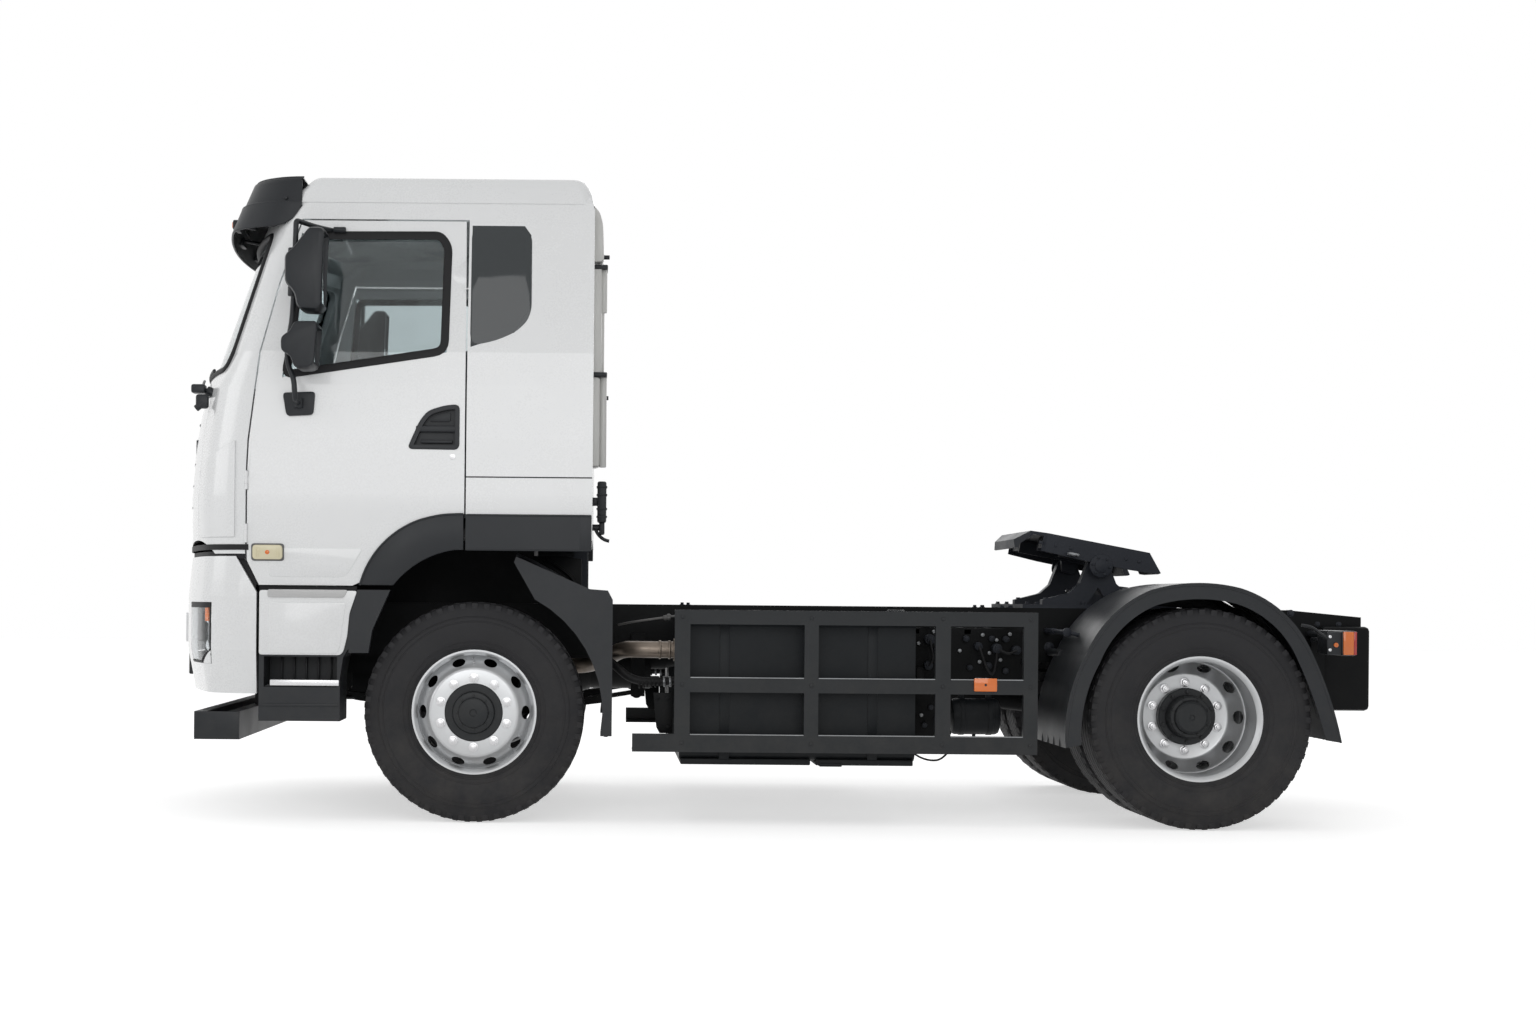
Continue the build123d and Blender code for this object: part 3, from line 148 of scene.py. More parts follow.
wear, wear_in, wear_out = new_group("Soft mottle", [
    ("Vector", "NodeSocketVector", None), ("Scale", FLOAT, 5.0), ("Strength", FLOAT, 0.1)],
    [("Value", FLOAT)])
cloud = noise_node(wear, wear_in.outputs["Vector"], wear_in.outputs["Scale"], 5.0, 0.6)
swing = math_node(wear, "MULTIPLY", math_node(wear, "SUBTRACT", cloud, 0.5), wear_in.outputs["Strength"])
wear.links.new(math_node(wear, "ADD", swing, 1.0), wear_out.inputs["Value"])
print("groups:", grain.name, dust.name, wear.name)

# %% [markdown]
# ## Finishes
# One function builds a finish from a colour and a few plain values. The colour is first mottled a little,
# then dusted, and the grain drives both roughness and a bump that is well under a millimetre deep. White
# cab paint gets a clear coat, plastics get none, and cast iron and rubber are the roughest.

# %% Build a finish
DUST_COLOUR = (0.30, 0.27, 0.23, 1)
finishes = {}


def group_node(tree, group, **values):
    node = tree.nodes.new("ShaderNodeGroup")
    node.node_tree = group
    for label, value in values.items():
        node.inputs[label].default_value = value
    return node


def blank_finish(name):
    """An empty finish: its node tree, its shader and the place on the object that patterns read."""
    material = bpy.data.materials.new(name)
    material.use_nodes = True
    finishes[name] = material
    tree = material.node_tree
    return tree, tree.nodes["Principled BSDF"], tree.nodes.new("ShaderNodeTexCoord").outputs["Object"]


def new_finish(name, colour, rough=(0.3, 0.5), metallic=0.0, grain_scale=250.0, depth=0.0002, mottle=0.12,
    dust_top=1.0, dust_amount=0.25, coat=0.0, shine=0.5):
    """A finish with mottle, dust and grain. Sizes are metres, and colour is linear red, green and blue."""
    tree, shader, place = blank_finish(name)
    mottled = group_node(tree, wear, Scale=4.0, Strength=mottle)
    tint = tree.nodes.new("ShaderNodeMix")
    tint.data_type = "RGBA"
    tint.blend_type = "MULTIPLY"
    tint.inputs["Factor"].default_value = 1.0
    tint.inputs["A"].default_value = (*colour, 1)
    dusted = tree.nodes.new("ShaderNodeMix")
    dusted.data_type = "RGBA"
    dusted.inputs["B"].default_value = DUST_COLOUR
    mask = group_node(tree, dust, Top=dust_top, Amount=dust_amount)
    fine_grain = group_node(tree, grain, Scale=grain_scale, Smoothest=rough[0], Roughest=rough[1])
    bump = tree.nodes.new("ShaderNodeBump")
    bump.inputs["Distance"].default_value = depth
    bump.inputs["Strength"].default_value = 0.6
    for node in (mottled, mask, fine_grain):
        tree.links.new(place, node.inputs["Vector"])
    tree.links.new(mottled.outputs["Value"], tint.inputs["B"])
    tree.links.new(tint.outputs["Result"], dusted.inputs["A"])
    tree.links.new(mask.outputs["Mask"], dusted.inputs["Factor"])
    tree.links.new(dusted.outputs["Result"], shader.inputs["Base Color"])
    tree.links.new(fine_grain.outputs["Roughness"], shader.inputs["Roughness"])
    tree.links.new(fine_grain.outputs["Height"], bump.inputs["Height"])
    tree.links.new(bump.outputs["Normal"], shader.inputs["Normal"])
    shader.inputs["Metallic"].default_value = metallic
    shader.inputs["Coat Weight"].default_value = coat
    shader.inputs["Specular IOR Level"].default_value = shine
    shader.inputs["Coat Roughness"].default_value = 0.06


new_finish("cab white", (0.80, 0.81, 0.815), (0.22, 0.34), grain_scale=120, depth=0.00008, mottle=0.03,
    dust_top=1.5, dust_amount=0.05, coat=0.6)
new_finish("moulded black", (0.016, 0.018, 0.021), (0.34, 0.52), grain_scale=900, depth=0.0003, mottle=0.3,
    dust_top=1.4, dust_amount=0.05, shine=0.28)
new_finish("gloss black", (0.012, 0.013, 0.015), (0.08, 0.16), grain_scale=60, depth=0.00002, mottle=0.1,
    dust_top=1.0, dust_amount=0.05, coat=0.5)
new_finish("frame black", (0.015, 0.017, 0.019), (0.34, 0.55), grain_scale=160, depth=0.0004, mottle=0.4,
    dust_top=1.1, dust_amount=0.06, shine=0.25)
new_finish("tank black", (0.010, 0.012, 0.014), (0.34, 0.5), grain_scale=300, depth=0.0002, mottle=0.3,
    dust_top=1.1, dust_amount=0.04, shine=0.14)
# A darker copy of frame black for the frame, axles, engine and the parts round them, standing for the shade
# under the cab: painted shade.
new_finish("shaded chassis black", (0.004, 0.0045, 0.005), (0.4, 0.6), grain_scale=160, depth=0.0004, mottle=0.4,
    dust_top=1.1, dust_amount=0.025, shine=0.1)
new_finish("wheel silver", (0.52, 0.53, 0.54), (0.30, 0.46), metallic=0.75, grain_scale=300, mottle=0.12,
    dust_top=0.9, dust_amount=0.22)
new_finish("tyre rubber", (0.019, 0.019, 0.021), (0.55, 0.75), grain_scale=500, depth=0.0005, mottle=0.3,
    dust_top=1.0, dust_amount=0.08, shine=0.25)
new_finish("cast iron", (0.018, 0.021, 0.028), (0.40, 0.6), metallic=0.0, grain_scale=120, depth=0.0009,
    mottle=0.5, dust_top=1.3, dust_amount=0.06, shine=0.2)
# Grey steel for clips, nuts and the coupling's handle; it also colours the guard rails' painted highlight
# lines.
new_finish("worn steel and painted highlight", (0.24, 0.25, 0.26), (0.3, 0.45), metallic=0.5, grain_scale=160, mottle=0.8, shine=0.4)
new_finish("raw casting", (0.11, 0.11, 0.11), (0.5, 0.75), metallic=0.5, grain_scale=90, depth=0.001,
    mottle=0.6, dust_top=1.4, dust_amount=0.4)
new_finish("scaled steel", (0.20, 0.165, 0.135), (0.32, 0.55), metallic=0.8, grain_scale=60, depth=0.0005,
    mottle=0.9, dust_top=1.2, dust_amount=0.3)
new_finish("bright steel", (0.60, 0.60, 0.61), (0.22, 0.38), metallic=0.9, grain_scale=200, mottle=0.2,
    dust_top=0.8, dust_amount=0.15)
new_finish("radiator fins", (0.22, 0.23, 0.24), (0.4, 0.6), metallic=0.7, grain_scale=400, mottle=0.3)
new_finish("cab lining", (0.085, 0.085, 0.09), (0.55, 0.75), grain_scale=700, depth=0.0004, dust_amount=0.0)
new_finish("soft rubber", (0.008, 0.008, 0.009), (0.5, 0.65), grain_scale=500, dust_amount=0.03, shine=0.25)
for lens, colour in (("amber lens", (0.78, 0.17, 0.012)), ("red lens", (0.45, 0.012, 0.010))):
    new_finish(lens, colour, (0.10, 0.2), grain_scale=90, mottle=0.2, dust_amount=0.05, coat=0.4)
new_finish("cream lens", (0.72, 0.66, 0.46), (0.18, 0.3), grain_scale=90, mottle=0.15, dust_amount=0.05)
new_finish("lamp bowl", (0.70, 0.71, 0.72), (0.12, 0.25), metallic=0.9, grain_scale=60, mottle=0.3,
    dust_amount=0.03)
new_finish("pale plastic", (0.50, 0.50, 0.50), (0.25, 0.4), grain_scale=200, mottle=0.1, dust_amount=0.05)
new_finish("bare plate", (0.62, 0.62, 0.60), (0.3, 0.4), grain_scale=200, dust_amount=0.1)
print(len(finishes), "finishes")


# %% [markdown]
# ## Glass and cloth
# Glass keeps a plain transmission, so it needs its own small recipe: a tint, a low roughness and a thin
# mirror-like coat. Seat cloth is a weave: two sets of fine waves at right angles drive its height and
# darken the gaps between the yarns with painted shade.

# %% Glass and seat cloth
def new_glass(name, colour, rough, transmission, ior=1.45):
    tree, shader, place = blank_finish(name)
    shader.inputs["Base Color"].default_value = (*colour, 1)
    shader.inputs["Transmission Weight"].default_value = transmission
    shader.inputs["IOR"].default_value = ior
    film = range_node(tree, noise_node(tree, place, 6.0, 5.0), 0.3, 0.7, rough, rough + 0.04)
    tree.links.new(film, shader.inputs["Roughness"])


new_glass("tinted glass", (0.60, 0.66, 0.67), 0.01, 1.0)
new_glass("dark glass", (0.05, 0.06, 0.065), 0.03, 0.4)
new_glass("mirror glass", (0.75, 0.77, 0.78), 0.02, 0.0)
finishes["mirror glass"].node_tree.nodes["Principled BSDF"].inputs["Metallic"].default_value = 1.0
new_glass("clear lens", (0.92, 0.94, 0.95), 0.02, 0.97, ior=1.12)


def new_cloth(name, colour, gap_shade_colour, yarn):
    """A plain weave of the given yarn spacing in metres."""
    tree, shader, place = blank_finish(name)
    waves = []
    for direction in ("X", "Z"):
        wave = tree.nodes.new("ShaderNodeTexWave")
        wave.bands_direction = direction
        wave.inputs["Scale"].default_value = 0.314 / yarn
        wave.inputs["Distortion"].default_value = 0.3
        tree.links.new(place, wave.inputs["Vector"])
        waves.append(wave.outputs["Fac"])
    height = math_node(tree, "MAXIMUM", waves[0], waves[1])
    # The gaps between the yarns take the darker colour: painted shade.
    mix = tree.nodes.new("ShaderNodeMix")
    mix.data_type = "RGBA"
    mix.inputs["A"].default_value = (*gap_shade_colour, 1)
    mix.inputs["B"].default_value = (*colour, 1)
    bump = tree.nodes.new("ShaderNodeBump")
    bump.inputs["Distance"].default_value = 0.0006
    tree.links.new(height, mix.inputs["Factor"])
    tree.links.new(height, bump.inputs["Height"])
    tree.links.new(mix.outputs["Result"], shader.inputs["Base Color"])
    tree.links.new(bump.outputs["Normal"], shader.inputs["Normal"])
    shader.inputs["Roughness"].default_value = 0.9
    shader.inputs["Sheen Weight"].default_value = 0.3


new_cloth("seat cloth", (0.10, 0.11, 0.13), (0.03, 0.03, 0.04), 0.003)
print("glass and cloth ready,", len(finishes), "finishes in all")

# %% [markdown]
# ## Finish every solid of the frame
# A solid whose shape is right keeps its mesh and only gets a finish. Names tell what a solid is, so a
# small table of name beginnings is enough.

# %% Dress the solids
NODE_FINISH = {
    "air_tank": "shaded chassis black", "battery_box": "shaded chassis black", "bumper": "cab white",
    "cab_back": "cab white", "cab_floor": "cab lining", "cab_front": "cab white",
    "cab_mounts": "cast iron", "cab_roof": "cab white", "cab_sides": "cab white",
    "dashboard": "cab lining", "door_glass": "tinted glass", "door_trim": "moulded black",
    "door_": "cab white", "engine": "shaded chassis black", "exhaust": "scaled steel",
    "fifth_wheel": "cast iron", "frame": "shaded chassis black", "front_axle": "shaded chassis black",
    "front_flap": "cab white", "front_springs": "shaded chassis black", "front_wings": "moulded black",
    "gearbox": "shaded chassis black", "headlamps": "lamp bowl", "knuckle": "cast iron",
    "mirrors": "moulded black", "propshaft": "shaded chassis black", "quarter_windows": "dark glass",
    "radiator": "radiator fins", "rear_axle": "shaded chassis black", "rear_springs": "shaded chassis black",
    "rear_wings": "moulded black", "seats": "seat cloth", "side_guards": "frame black",
    "side_trims": "moulded black", "steering_wheel": "soft rubber", "steps": "moulded black",
    "sun_visor": "moulded black", "tail_lamps": "amber lens", "tanks": "tank black",
    "tyre": "tyre rubber", "underrun": "moulded black", "wheel": "wheel silver",
    "windscreen": "tinted glass",
}


def give(piece, finish):
    piece.data.materials.clear()
    piece.data.materials.append(finishes[finish])


for name, piece in nodes.items():
    start = next(start for start in NODE_FINISH if name.startswith(start))
    give(piece, NODE_FINISH[start])
print("finished", len(nodes), "solids")

# %% [markdown]
# ## A small bench of modelling helpers
# Most parts of a lorry are bars, rods, plates, turned shapes and bent tubes. A helper for each starts from
# a primitive or a drawn line, puts its place into the mesh, rounds its edges and shades it, so that every
# piece is finished in the same way.


# %% Select, settle and round
def only(*pieces):
    """Selects just these pieces, the first one active."""
    bpy.ops.object.select_all(action="DESELECT")
    for piece in pieces:
        piece.select_set(True)
    bpy.context.view_layer.objects.active = pieces[0]


def settle(piece):
    """Puts the piece's place, turn and scale into its mesh."""
    only(piece)
    bpy.ops.object.transform_apply(location=True, rotation=True, scale=True)


def shade(piece, angle=32):
    only(piece)
    bpy.ops.object.shade_smooth_by_angle(angle=math.radians(angle))


def soften(piece, width, segments=2, angle=32):
    """Rounds the sharp edges with a bevel of the given width in metres."""
    only(piece)
    bevel = piece.modifiers.new("soften", "BEVEL")
    bevel.width = width
    bevel.segments = segments
    bevel.limit_method = "ANGLE"
    bevel.angle_limit = math.radians(angle)
    bevel.use_clamp_overlap = True
    bpy.ops.object.modifier_apply(modifier=bevel.name)
    shade(piece)


def edit_all():
    """Opens edit mode with the whole mesh selected."""
    bpy.ops.object.mode_set(mode="EDIT")
    bpy.ops.mesh.select_all(action="SELECT")


MERGE_WITHIN = 0.00005


def tidy_faces(piece):
    """Merges doubled points and turns all faces outwards."""
    only(piece)
    edit_all()
    bpy.ops.mesh.remove_doubles(threshold=MERGE_WITHIN)
    bpy.ops.mesh.normals_make_consistent(inside=False)
    bpy.ops.object.mode_set(mode="OBJECT")


def named(piece, name, finish, body):
    """Names a finished piece, gives it its finish and lets it ride with its body."""
    piece.name = name
    piece.data.name = name
    give(piece, finish)
    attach(piece, body)
    return piece


def joined(pieces):
    only(*pieces)
    if len(pieces) > 1:
        bpy.ops.object.join()
    return bpy.context.object


print("selecting, settling and rounding are ready")


# %% Bars, rods, plates, tubes and turned shapes
def bar(x, y, z, round_mm=4.0):
    """A bar from (low, high) pairs in millimetres, with rounded edges."""
    low, high = at(x[0], y[0], z[0]), at(x[1], y[1], z[1])
    bpy.ops.object.select_all(action="DESELECT")
    bpy.ops.mesh.primitive_cube_add(size=1, location=(low + high) / 2, scale=high - low)
    piece = bpy.context.object
    settle(piece)
    if round_mm:
        soften(piece, round_mm / 1000)
    return piece


def rod(start, end, radius, sides=24, round_mm=1.0):
    """A rod between two points, each written in millimetres."""
    a, b = at(*start), at(*end)
    way = b - a
    bpy.ops.object.select_all(action="DESELECT")
    bpy.ops.mesh.primitive_cylinder_add(vertices=sides, radius=radius / 1000, depth=way.length,
        location=(a + b) / 2, rotation=way.to_track_quat("Z", "Y").to_euler())
    piece = bpy.context.object
    settle(piece)
    if round_mm:
        soften(piece, round_mm / 1000)
    return piece


def line_mesh(points, cyclic, smooth=False, resolution=8):
    """A chain of edges through points in metres, straight or smooth."""
    curve = bpy.data.curves.new("line", "CURVE")
    curve.dimensions = "3D"
    curve.resolution_u = resolution
    spline = curve.splines.new("NURBS" if smooth else "POLY")
    spline.points.add(len(points) - 1)
    for place, point in zip(spline.points, points):
        place.co = (*point, 1)
    if smooth:
        spline.order_u = 3
        spline.use_endpoint_u = not cyclic
    spline.use_cyclic_u = cyclic
    piece = bpy.data.objects.new("line", curve)
    bpy.context.scene.collection.objects.link(piece)
    return piece


def drawn(points, cyclic=True, fill=True):
    """A line through points in metres as a mesh, left in edit mode with all of it selected."""
    only(line_mesh(points, cyclic))
    bpy.ops.object.convert(target="MESH")
    edit_all()
    if fill:
        bpy.ops.mesh.edge_face_add()
    return bpy.context.object


def pushed(piece, x, y, z):
    """Extrudes what is selected by a way in millimetres and leaves edit mode."""
    bpy.ops.mesh.extrude_region_move(TRANSFORM_OT_translate={"value": (x / 1000, y / 1000, z / 1000)})
    bpy.ops.object.mode_set(mode="OBJECT")
    tidy_faces(piece)
    return piece


def tube(points, radius, smooth=True, sides=6, caps=True, resolution=8):
    """A round tube along points written in millimetres."""
    piece = line_mesh([at(*point) for point in points], False, smooth, resolution)
    piece.data.bevel_depth = radius / 1000
    piece.data.bevel_resolution = sides
    piece.data.use_fill_caps = caps
    only(piece)
    bpy.ops.object.convert(target="MESH")
    piece = bpy.context.object
    shade(piece, 40)
    return piece


def plate(outline, y_low, y_high, round_mm=2.0):
    """A plate whose (x, z) outline is seen from the side, between two widths, all in millimetres."""
    piece = pushed(drawn([at(x, y_low, z) for x, z in outline]), 0, y_high - y_low, 0)
    if round_mm:
        soften(piece, round_mm / 1000)
    return piece


def turned(profile, x, z, steps=96, closed=True):
    """Spins a profile of (y, radius) points about the wheel axis through (x, z), all in millimetres."""
    piece = drawn([at(x, y, z + r) for y, r in profile], closed, fill=False)
    bpy.ops.mesh.spin(steps=steps, angle=math.tau, center=at(x, 0, z), axis=(0, 1, 0))
    bpy.ops.object.mode_set(mode="OBJECT")
    tidy_faces(piece)
    shade(piece)
    return piece


def ring_of(piece, count, x, z, turn=0.0):
    """Repeats a piece round the wheel axis through (x, z), starting turn steps on."""
    only(piece)
    edit_all()
    centre = at(x, 0, z)
    if turn:
        bpy.ops.transform.rotate(value=-turn * math.tau / count, orient_axis="Y", center_override=centre)
    bpy.ops.mesh.spin(steps=count - 1, angle=math.tau * (count - 1) / count, center=centre, axis=(0, 1, 0),
        dupli=True)
    bpy.ops.object.mode_set(mode="OBJECT")
    shade(piece)
    return piece


def copy_mirrored(piece):
    """The same piece on the vehicle's other side, with its own mesh."""
    only(piece)
    bpy.ops.object.duplicate()
    other = bpy.context.object
    other.parent = None
    other.scale = (1, -1, 1)
    settle(other)
    tidy_faces(other)
    return other


def cut(piece, cutter):
    """Takes the cutter's volume out of the piece and removes the cutter."""
    only(piece)
    boolean = piece.modifiers.new("cut", "BOOLEAN")
    boolean.object = cutter
    boolean.solver = "EXACT"
    bpy.ops.object.modifier_apply(modifier=boolean.name)
    bpy.data.objects.remove(cutter)
    return piece


def both_sides(piece, name, finish, left_body, node=None):
    """Names the left piece and its mirror image on the right, in place of a pair of nodes if one is given."""
    pair = (piece, copy_mirrored(piece))
    for half, side in zip(pair, ("left", "right")):
        named(half, f"{name}_{side}", finish, left_body.replace("left", side))
        if node:
            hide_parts(f"{node}_{side}")
    return pair


print("bars, rods, plates, tubes and turned shapes are ready")

# %% [markdown]
# ## Tyres
# A lorry tyre is a turned shape: bead, flat sidewall with moulded rings, square shoulder and a tread cut
# by four grooves. Its section is drawn once and spun. The shoulder lugs are one block repeated round the
# wheel, because a block tread reads best at its edge, where the grooves run out to the side.

# %% Tyre section
RIM_FLANGE = 303.0
TREAD_HALF = 118.0
GROOVE_DEPTH = 13.0
GROOVE_HALF = 5.0
GROOVES = (-74.0, -26.0, 26.0, 74.0)
WALL_RINGS = ((322.0, 3.0), (345.0, 2.0), (440.0, 2.0), (462.0, 2.5))


def wall_bulge(radius):
    """How far the sidewall stands out from the tyre's middle at a radius."""
    places = ((RIM_FLANGE, 119), (320, 133), (353, 142), (408, 149), (460, 145), (500, 134), (508, 130))
    for (r0, y0), (r1, y1) in zip(places, places[1:]):
        if r0 <= radius <= r1:
            return y0 + (y1 - y0) * (radius - r0) / (r1 - r0)
    return places[-1][1]


def tyre_section():
    """One half of the section from bead to tread, as (y, radius)."""
    half = [(104, 285), (104, RIM_FLANGE - 2), (117, RIM_FLANGE)]
    radii = [312, 330, 353, 380, 408, 430, 450, 475, 490, 500, 508]
    for ring, height in WALL_RINGS:
        radii += [ring - 4, ring - 1.5, ring + 1.5, ring + 4]
    for radius in sorted(radii):
        raised = max((height for ring, height in WALL_RINGS if abs(radius - ring) < 2), default=0)
        half.append((min(wall_bulge(radius) + raised, 149.5), radius))
    half += [(124, TYRE_OUT - 14), (TREAD_HALF, TYRE_OUT - 7)]
    return half


def tread_line():
    """The tread from one shoulder to the other, with its grooves."""
    points = []
    for middle in GROOVES:
        points += [(middle + across, TYRE_OUT - deep) for across, deep in (
            (-GROOVE_HALF, 0.5), (1 - GROOVE_HALF, GROOVE_DEPTH), (GROOVE_HALF - 1, GROOVE_DEPTH),
            (GROOVE_HALF, 0.5))]
    return [(-108, TYRE_OUT - 4)] + points + [(108, TYRE_OUT - 4)]


half = tyre_section()
SECTION = [(-y, r) for y, r in half] + tread_line() + [(y, r) for y, r in reversed(half)]
print("tyre section of", len(SECTION), "points")

# %% Build the tyres
LUGS = 56
TYRE_TOP = HUB_MM + TYRE_OUT


def tyre(x, y):
    """A carcass with a ring of shoulder lugs on each side."""
    carcass = turned([(y + dy, r) for dy, r in SECTION], x, HUB_MM, steps=112)
    parts = [carcass]
    for side in (-1, 1):
        near, far = sorted((y + side * 112, y + side * 133))
        lug = bar((x - 15, x + 15), (near, far), (TYRE_TOP - 46, TYRE_TOP - 6), 3)
        parts.append(ring_of(lug, LUGS, x, HUB_MM))
        near, far = sorted((y + side * 82, y + side * 106))
        sipe = bar((x - 13, x + 13), (near, far), (TYRE_TOP - 12, TYRE_TOP - 0.6), 1)
        parts.append(ring_of(sipe, LUGS, x, HUB_MM, 0.5))
    return joined(parts)


front = both_sides(tyre(0, -FRONT_TYRE_Y), "tread_tyre_front", "tyre rubber", "left_front_wheel",
    node="tyre_front")
twins = both_sides(joined([tyre(REAR_X, -y) for y in REAR_TYRE_Y]), "tread_tyres_rear", "tyre rubber",
    "left_rear_wheels", node="tyres_rear")
print("tyres:", sum(len(piece.data.polygons) for piece in front + twins), "faces")

# %% [markdown]
# ## Wheels
# The steel wheel is a barrel that holds the tyre and a dished disc that ten nuts clamp to the hub. Barrel
# and disc are turned shapes. Oval cutters, repeated round the wheel, open the hand holes. On the rear axle
# the same disc is bolted face to face with its twin, so the outer wheel shows its deep side.

# %% Barrel and disc
NUTS = 10
NUT_RING = 167.5
# collar, nut and stud: (start, end) out from the disc, radius, sides, rounding
NUT_STACK = ((-1, 5, 23, 24, 1.5), (4, 27, 19, 6, 2), (20, 36, 10.5, 16, 2))
HAND_HOLES = 10
HAND_HOLE_RING = 249.0
HAND_HOLE_SIZE = (33.0, 18.5)
DISC_THICK = 14.0


def barrel(x, y):
    section = [(-117, 303), (-105, 303), (-105, 286), (105, 286), (105, 303), (117, 303), (117, 294),
        (112, 287), (100, 277), (70, 274), (-70, 274), (-100, 277), (-112, 287), (-117, 294)]
    return turned([(y + dy, r) for dy, r in section], x, HUB_MM)


def disc(x, face, root):
    """A dished disc: its outer side is flat at face and runs out to root at the barrel."""
    lean = root - face
    front = [(face, 141), (face, 204), (face + 0.03 * lean, 211), (face + 0.12 * lean, 219),
        (face + 0.86 * lean, 265), (face + 0.97 * lean, 271), (root, 276)]
    back = [(y + DISC_THICK, r) for y, r in reversed(front)]
    piece = turned(front + back, x, HUB_MM)
    bpy.ops.object.select_all(action="DESELECT")
    bpy.ops.mesh.primitive_cylinder_add(vertices=28, radius=1, depth=0.140,
        location=at(x, (face + root) / 2, HUB_MM + HAND_HOLE_RING),
        rotation=(math.radians(90), 0, 0))
    cutter = bpy.context.object
    cutter.scale = (HAND_HOLE_SIZE[0] / 1000, HAND_HOLE_SIZE[1] / 1000, 1)
    settle(cutter)
    cut(piece, ring_of(cutter, HAND_HOLES, x, HUB_MM, 0.5))
    shade(piece, 35)
    return piece


def wheel_nuts(x, face):
    """A collar, a hexagon nut and the end of its stud, repeated round the disc."""
    z = HUB_MM + NUT_RING
    parts = [rod((x, face - start, z), (x, face - end, z), radius, sides, edge)
        for start, end, radius, sides, edge in NUT_STACK]
    return ring_of(joined(parts), NUTS, x, HUB_MM)


def bolt_ring(x, y, radius, count, head=8.0, height=9.0, turn=0.0):
    z = HUB_MM + radius
    return ring_of(rod((x, y + 2, z), (x, y - height, z), head, 6, 1), count, x, HUB_MM, turn)


print("wheel helpers ready")

# %% Front wheels
FRONT_FACE = -1170.0
FRONT_HUB = [(-1136, 0), (-1136, 44), (-1100, 44), (-1100, 70), (-1140, 86), (-1140, 187), (-910, 187),
    (-910, 205), (-918, 212), (-926, 205), (-1140, 205), (-1155, 200), (-1155, 140), (-1171, 140),
    (-1174, 136), (-1174, 104), (-1193, 98), (-1196, 90), (-1196, 74), (-1206, 70), (-1210, 62),
    (-1210, 18), (-1206, 14), (-1206, 0)]
wheel = joined([barrel(0, -FRONT_TYRE_Y), disc(0, FRONT_FACE, -1097)])
hub = joined([turned(FRONT_HUB, 0, HUB_MM, closed=False), bolt_ring(0, -1196, 82, 8, 6.5, 7)])
nuts = wheel_nuts(0, FRONT_FACE)
valve = tube([(-6, -1108, HUB_MM + 262), (-5, -1130, HUB_MM + 254), (-3, -1150, HUB_MM + 240)], 4.5)
both_sides(wheel, "wheel_disc_front", "wheel silver", "left_front_wheel", node="wheel_front")
both_sides(hub, "hub_front", "frame black", "left_front_wheel")
both_sides(nuts, "wheel_nuts_front", "bright steel", "left_front_wheel")
both_sides(valve, "valve_front", "bright steel", "left_front_wheel")
print("front wheels with", NUTS, "nuts each")

# %% Rear wheels
REAR_FACE = -944.0
REAR_HUB = [(-1032, 0), (-1032, 62), (-760, 62), (-756, 84), (-896, 94), (-896, 187), (-726, 187),
    (-726, 205), (-734, 212), (-742, 205), (-900, 205), (-915, 200), (-915, 140), (-984, 140), (-988, 136),
    (-988, 108),
    (-1050, 101), (-1054, 97), (-1056, 84), (-1073, 79), (-1080, 68), (-1080, 14), (-1076, 10), (-1076, 0)]
wheel = joined([barrel(REAR_X, -REAR_TYRE_Y[1]), barrel(REAR_X, -REAR_TYRE_Y[0]),
    disc(REAR_X, REAR_FACE, -1034), disc(REAR_X, -930, -840)])
hub = joined([turned(REAR_HUB, REAR_X, HUB_MM, closed=False), bolt_ring(REAR_X, -988, 122, 10, 9, 12),
    bolt_ring(REAR_X, -1055, 91, 8, 6, 7, 0.5)])
nuts = wheel_nuts(REAR_X, REAR_FACE)
both_sides(wheel, "wheel_discs_rear", "wheel silver", "left_rear_wheels", node="wheels_rear")
both_sides(hub, "hub_rear", "frame black", "left_rear_wheels")
both_sides(nuts, "wheel_nuts_rear", "bright steel", "left_rear_wheels")
print("rear wheels in twins")

# %% [markdown]
# ## Lines that follow the cab
# The cab's skin is a stack of plan sections: a gently curved front, round corners and straight sides.
# Seals, trims, wipers and the visor all lie on that skin, so one helper gives its outline at any height,
# moved out by a few millimetres where a piece stands proud of it.

# %% Outline of the skin at a height
CAB_ROWS = [(1120, 1224, -1500, 2800, 260), (1300, 1240, -1540, 2800, 260), (1580, 1245, -1545, 2800, 260),
    (1850, 1245, -1525, 2800, 260), (2110, 1235, -1480, 2800, 260), (2270, 1220, -1430, 2500, 160),
    (2900, 1130, -1205, 2500, 160), (3010, 1105, -1160, 2500, 160), (3070, 1070, -1080, 2500, 160),
    (3106, 1010, -770, 2500, 160)]
BUMPER_ROWS = [(620, 1215, -1520, 2800, 250), (830, 1245, -1560, 2800, 250), (1086, 1245, -1560, 2800, 250),
    (1280, 1240, -1540, 2800, 250)]


def row_at(rows, z):
    """The plan section at a height, between the two rows that hold it."""
    z = min(max(z, rows[0][0]), rows[-1][0])
    for low, high in zip(rows, rows[1:]):
        if z <= high[0]:
            share = (z - low[0]) / (high[0] - low[0])
            return [a + (b - a) * share for a, b in zip(low[1:], high[1:])]
    return list(rows[-1][1:])


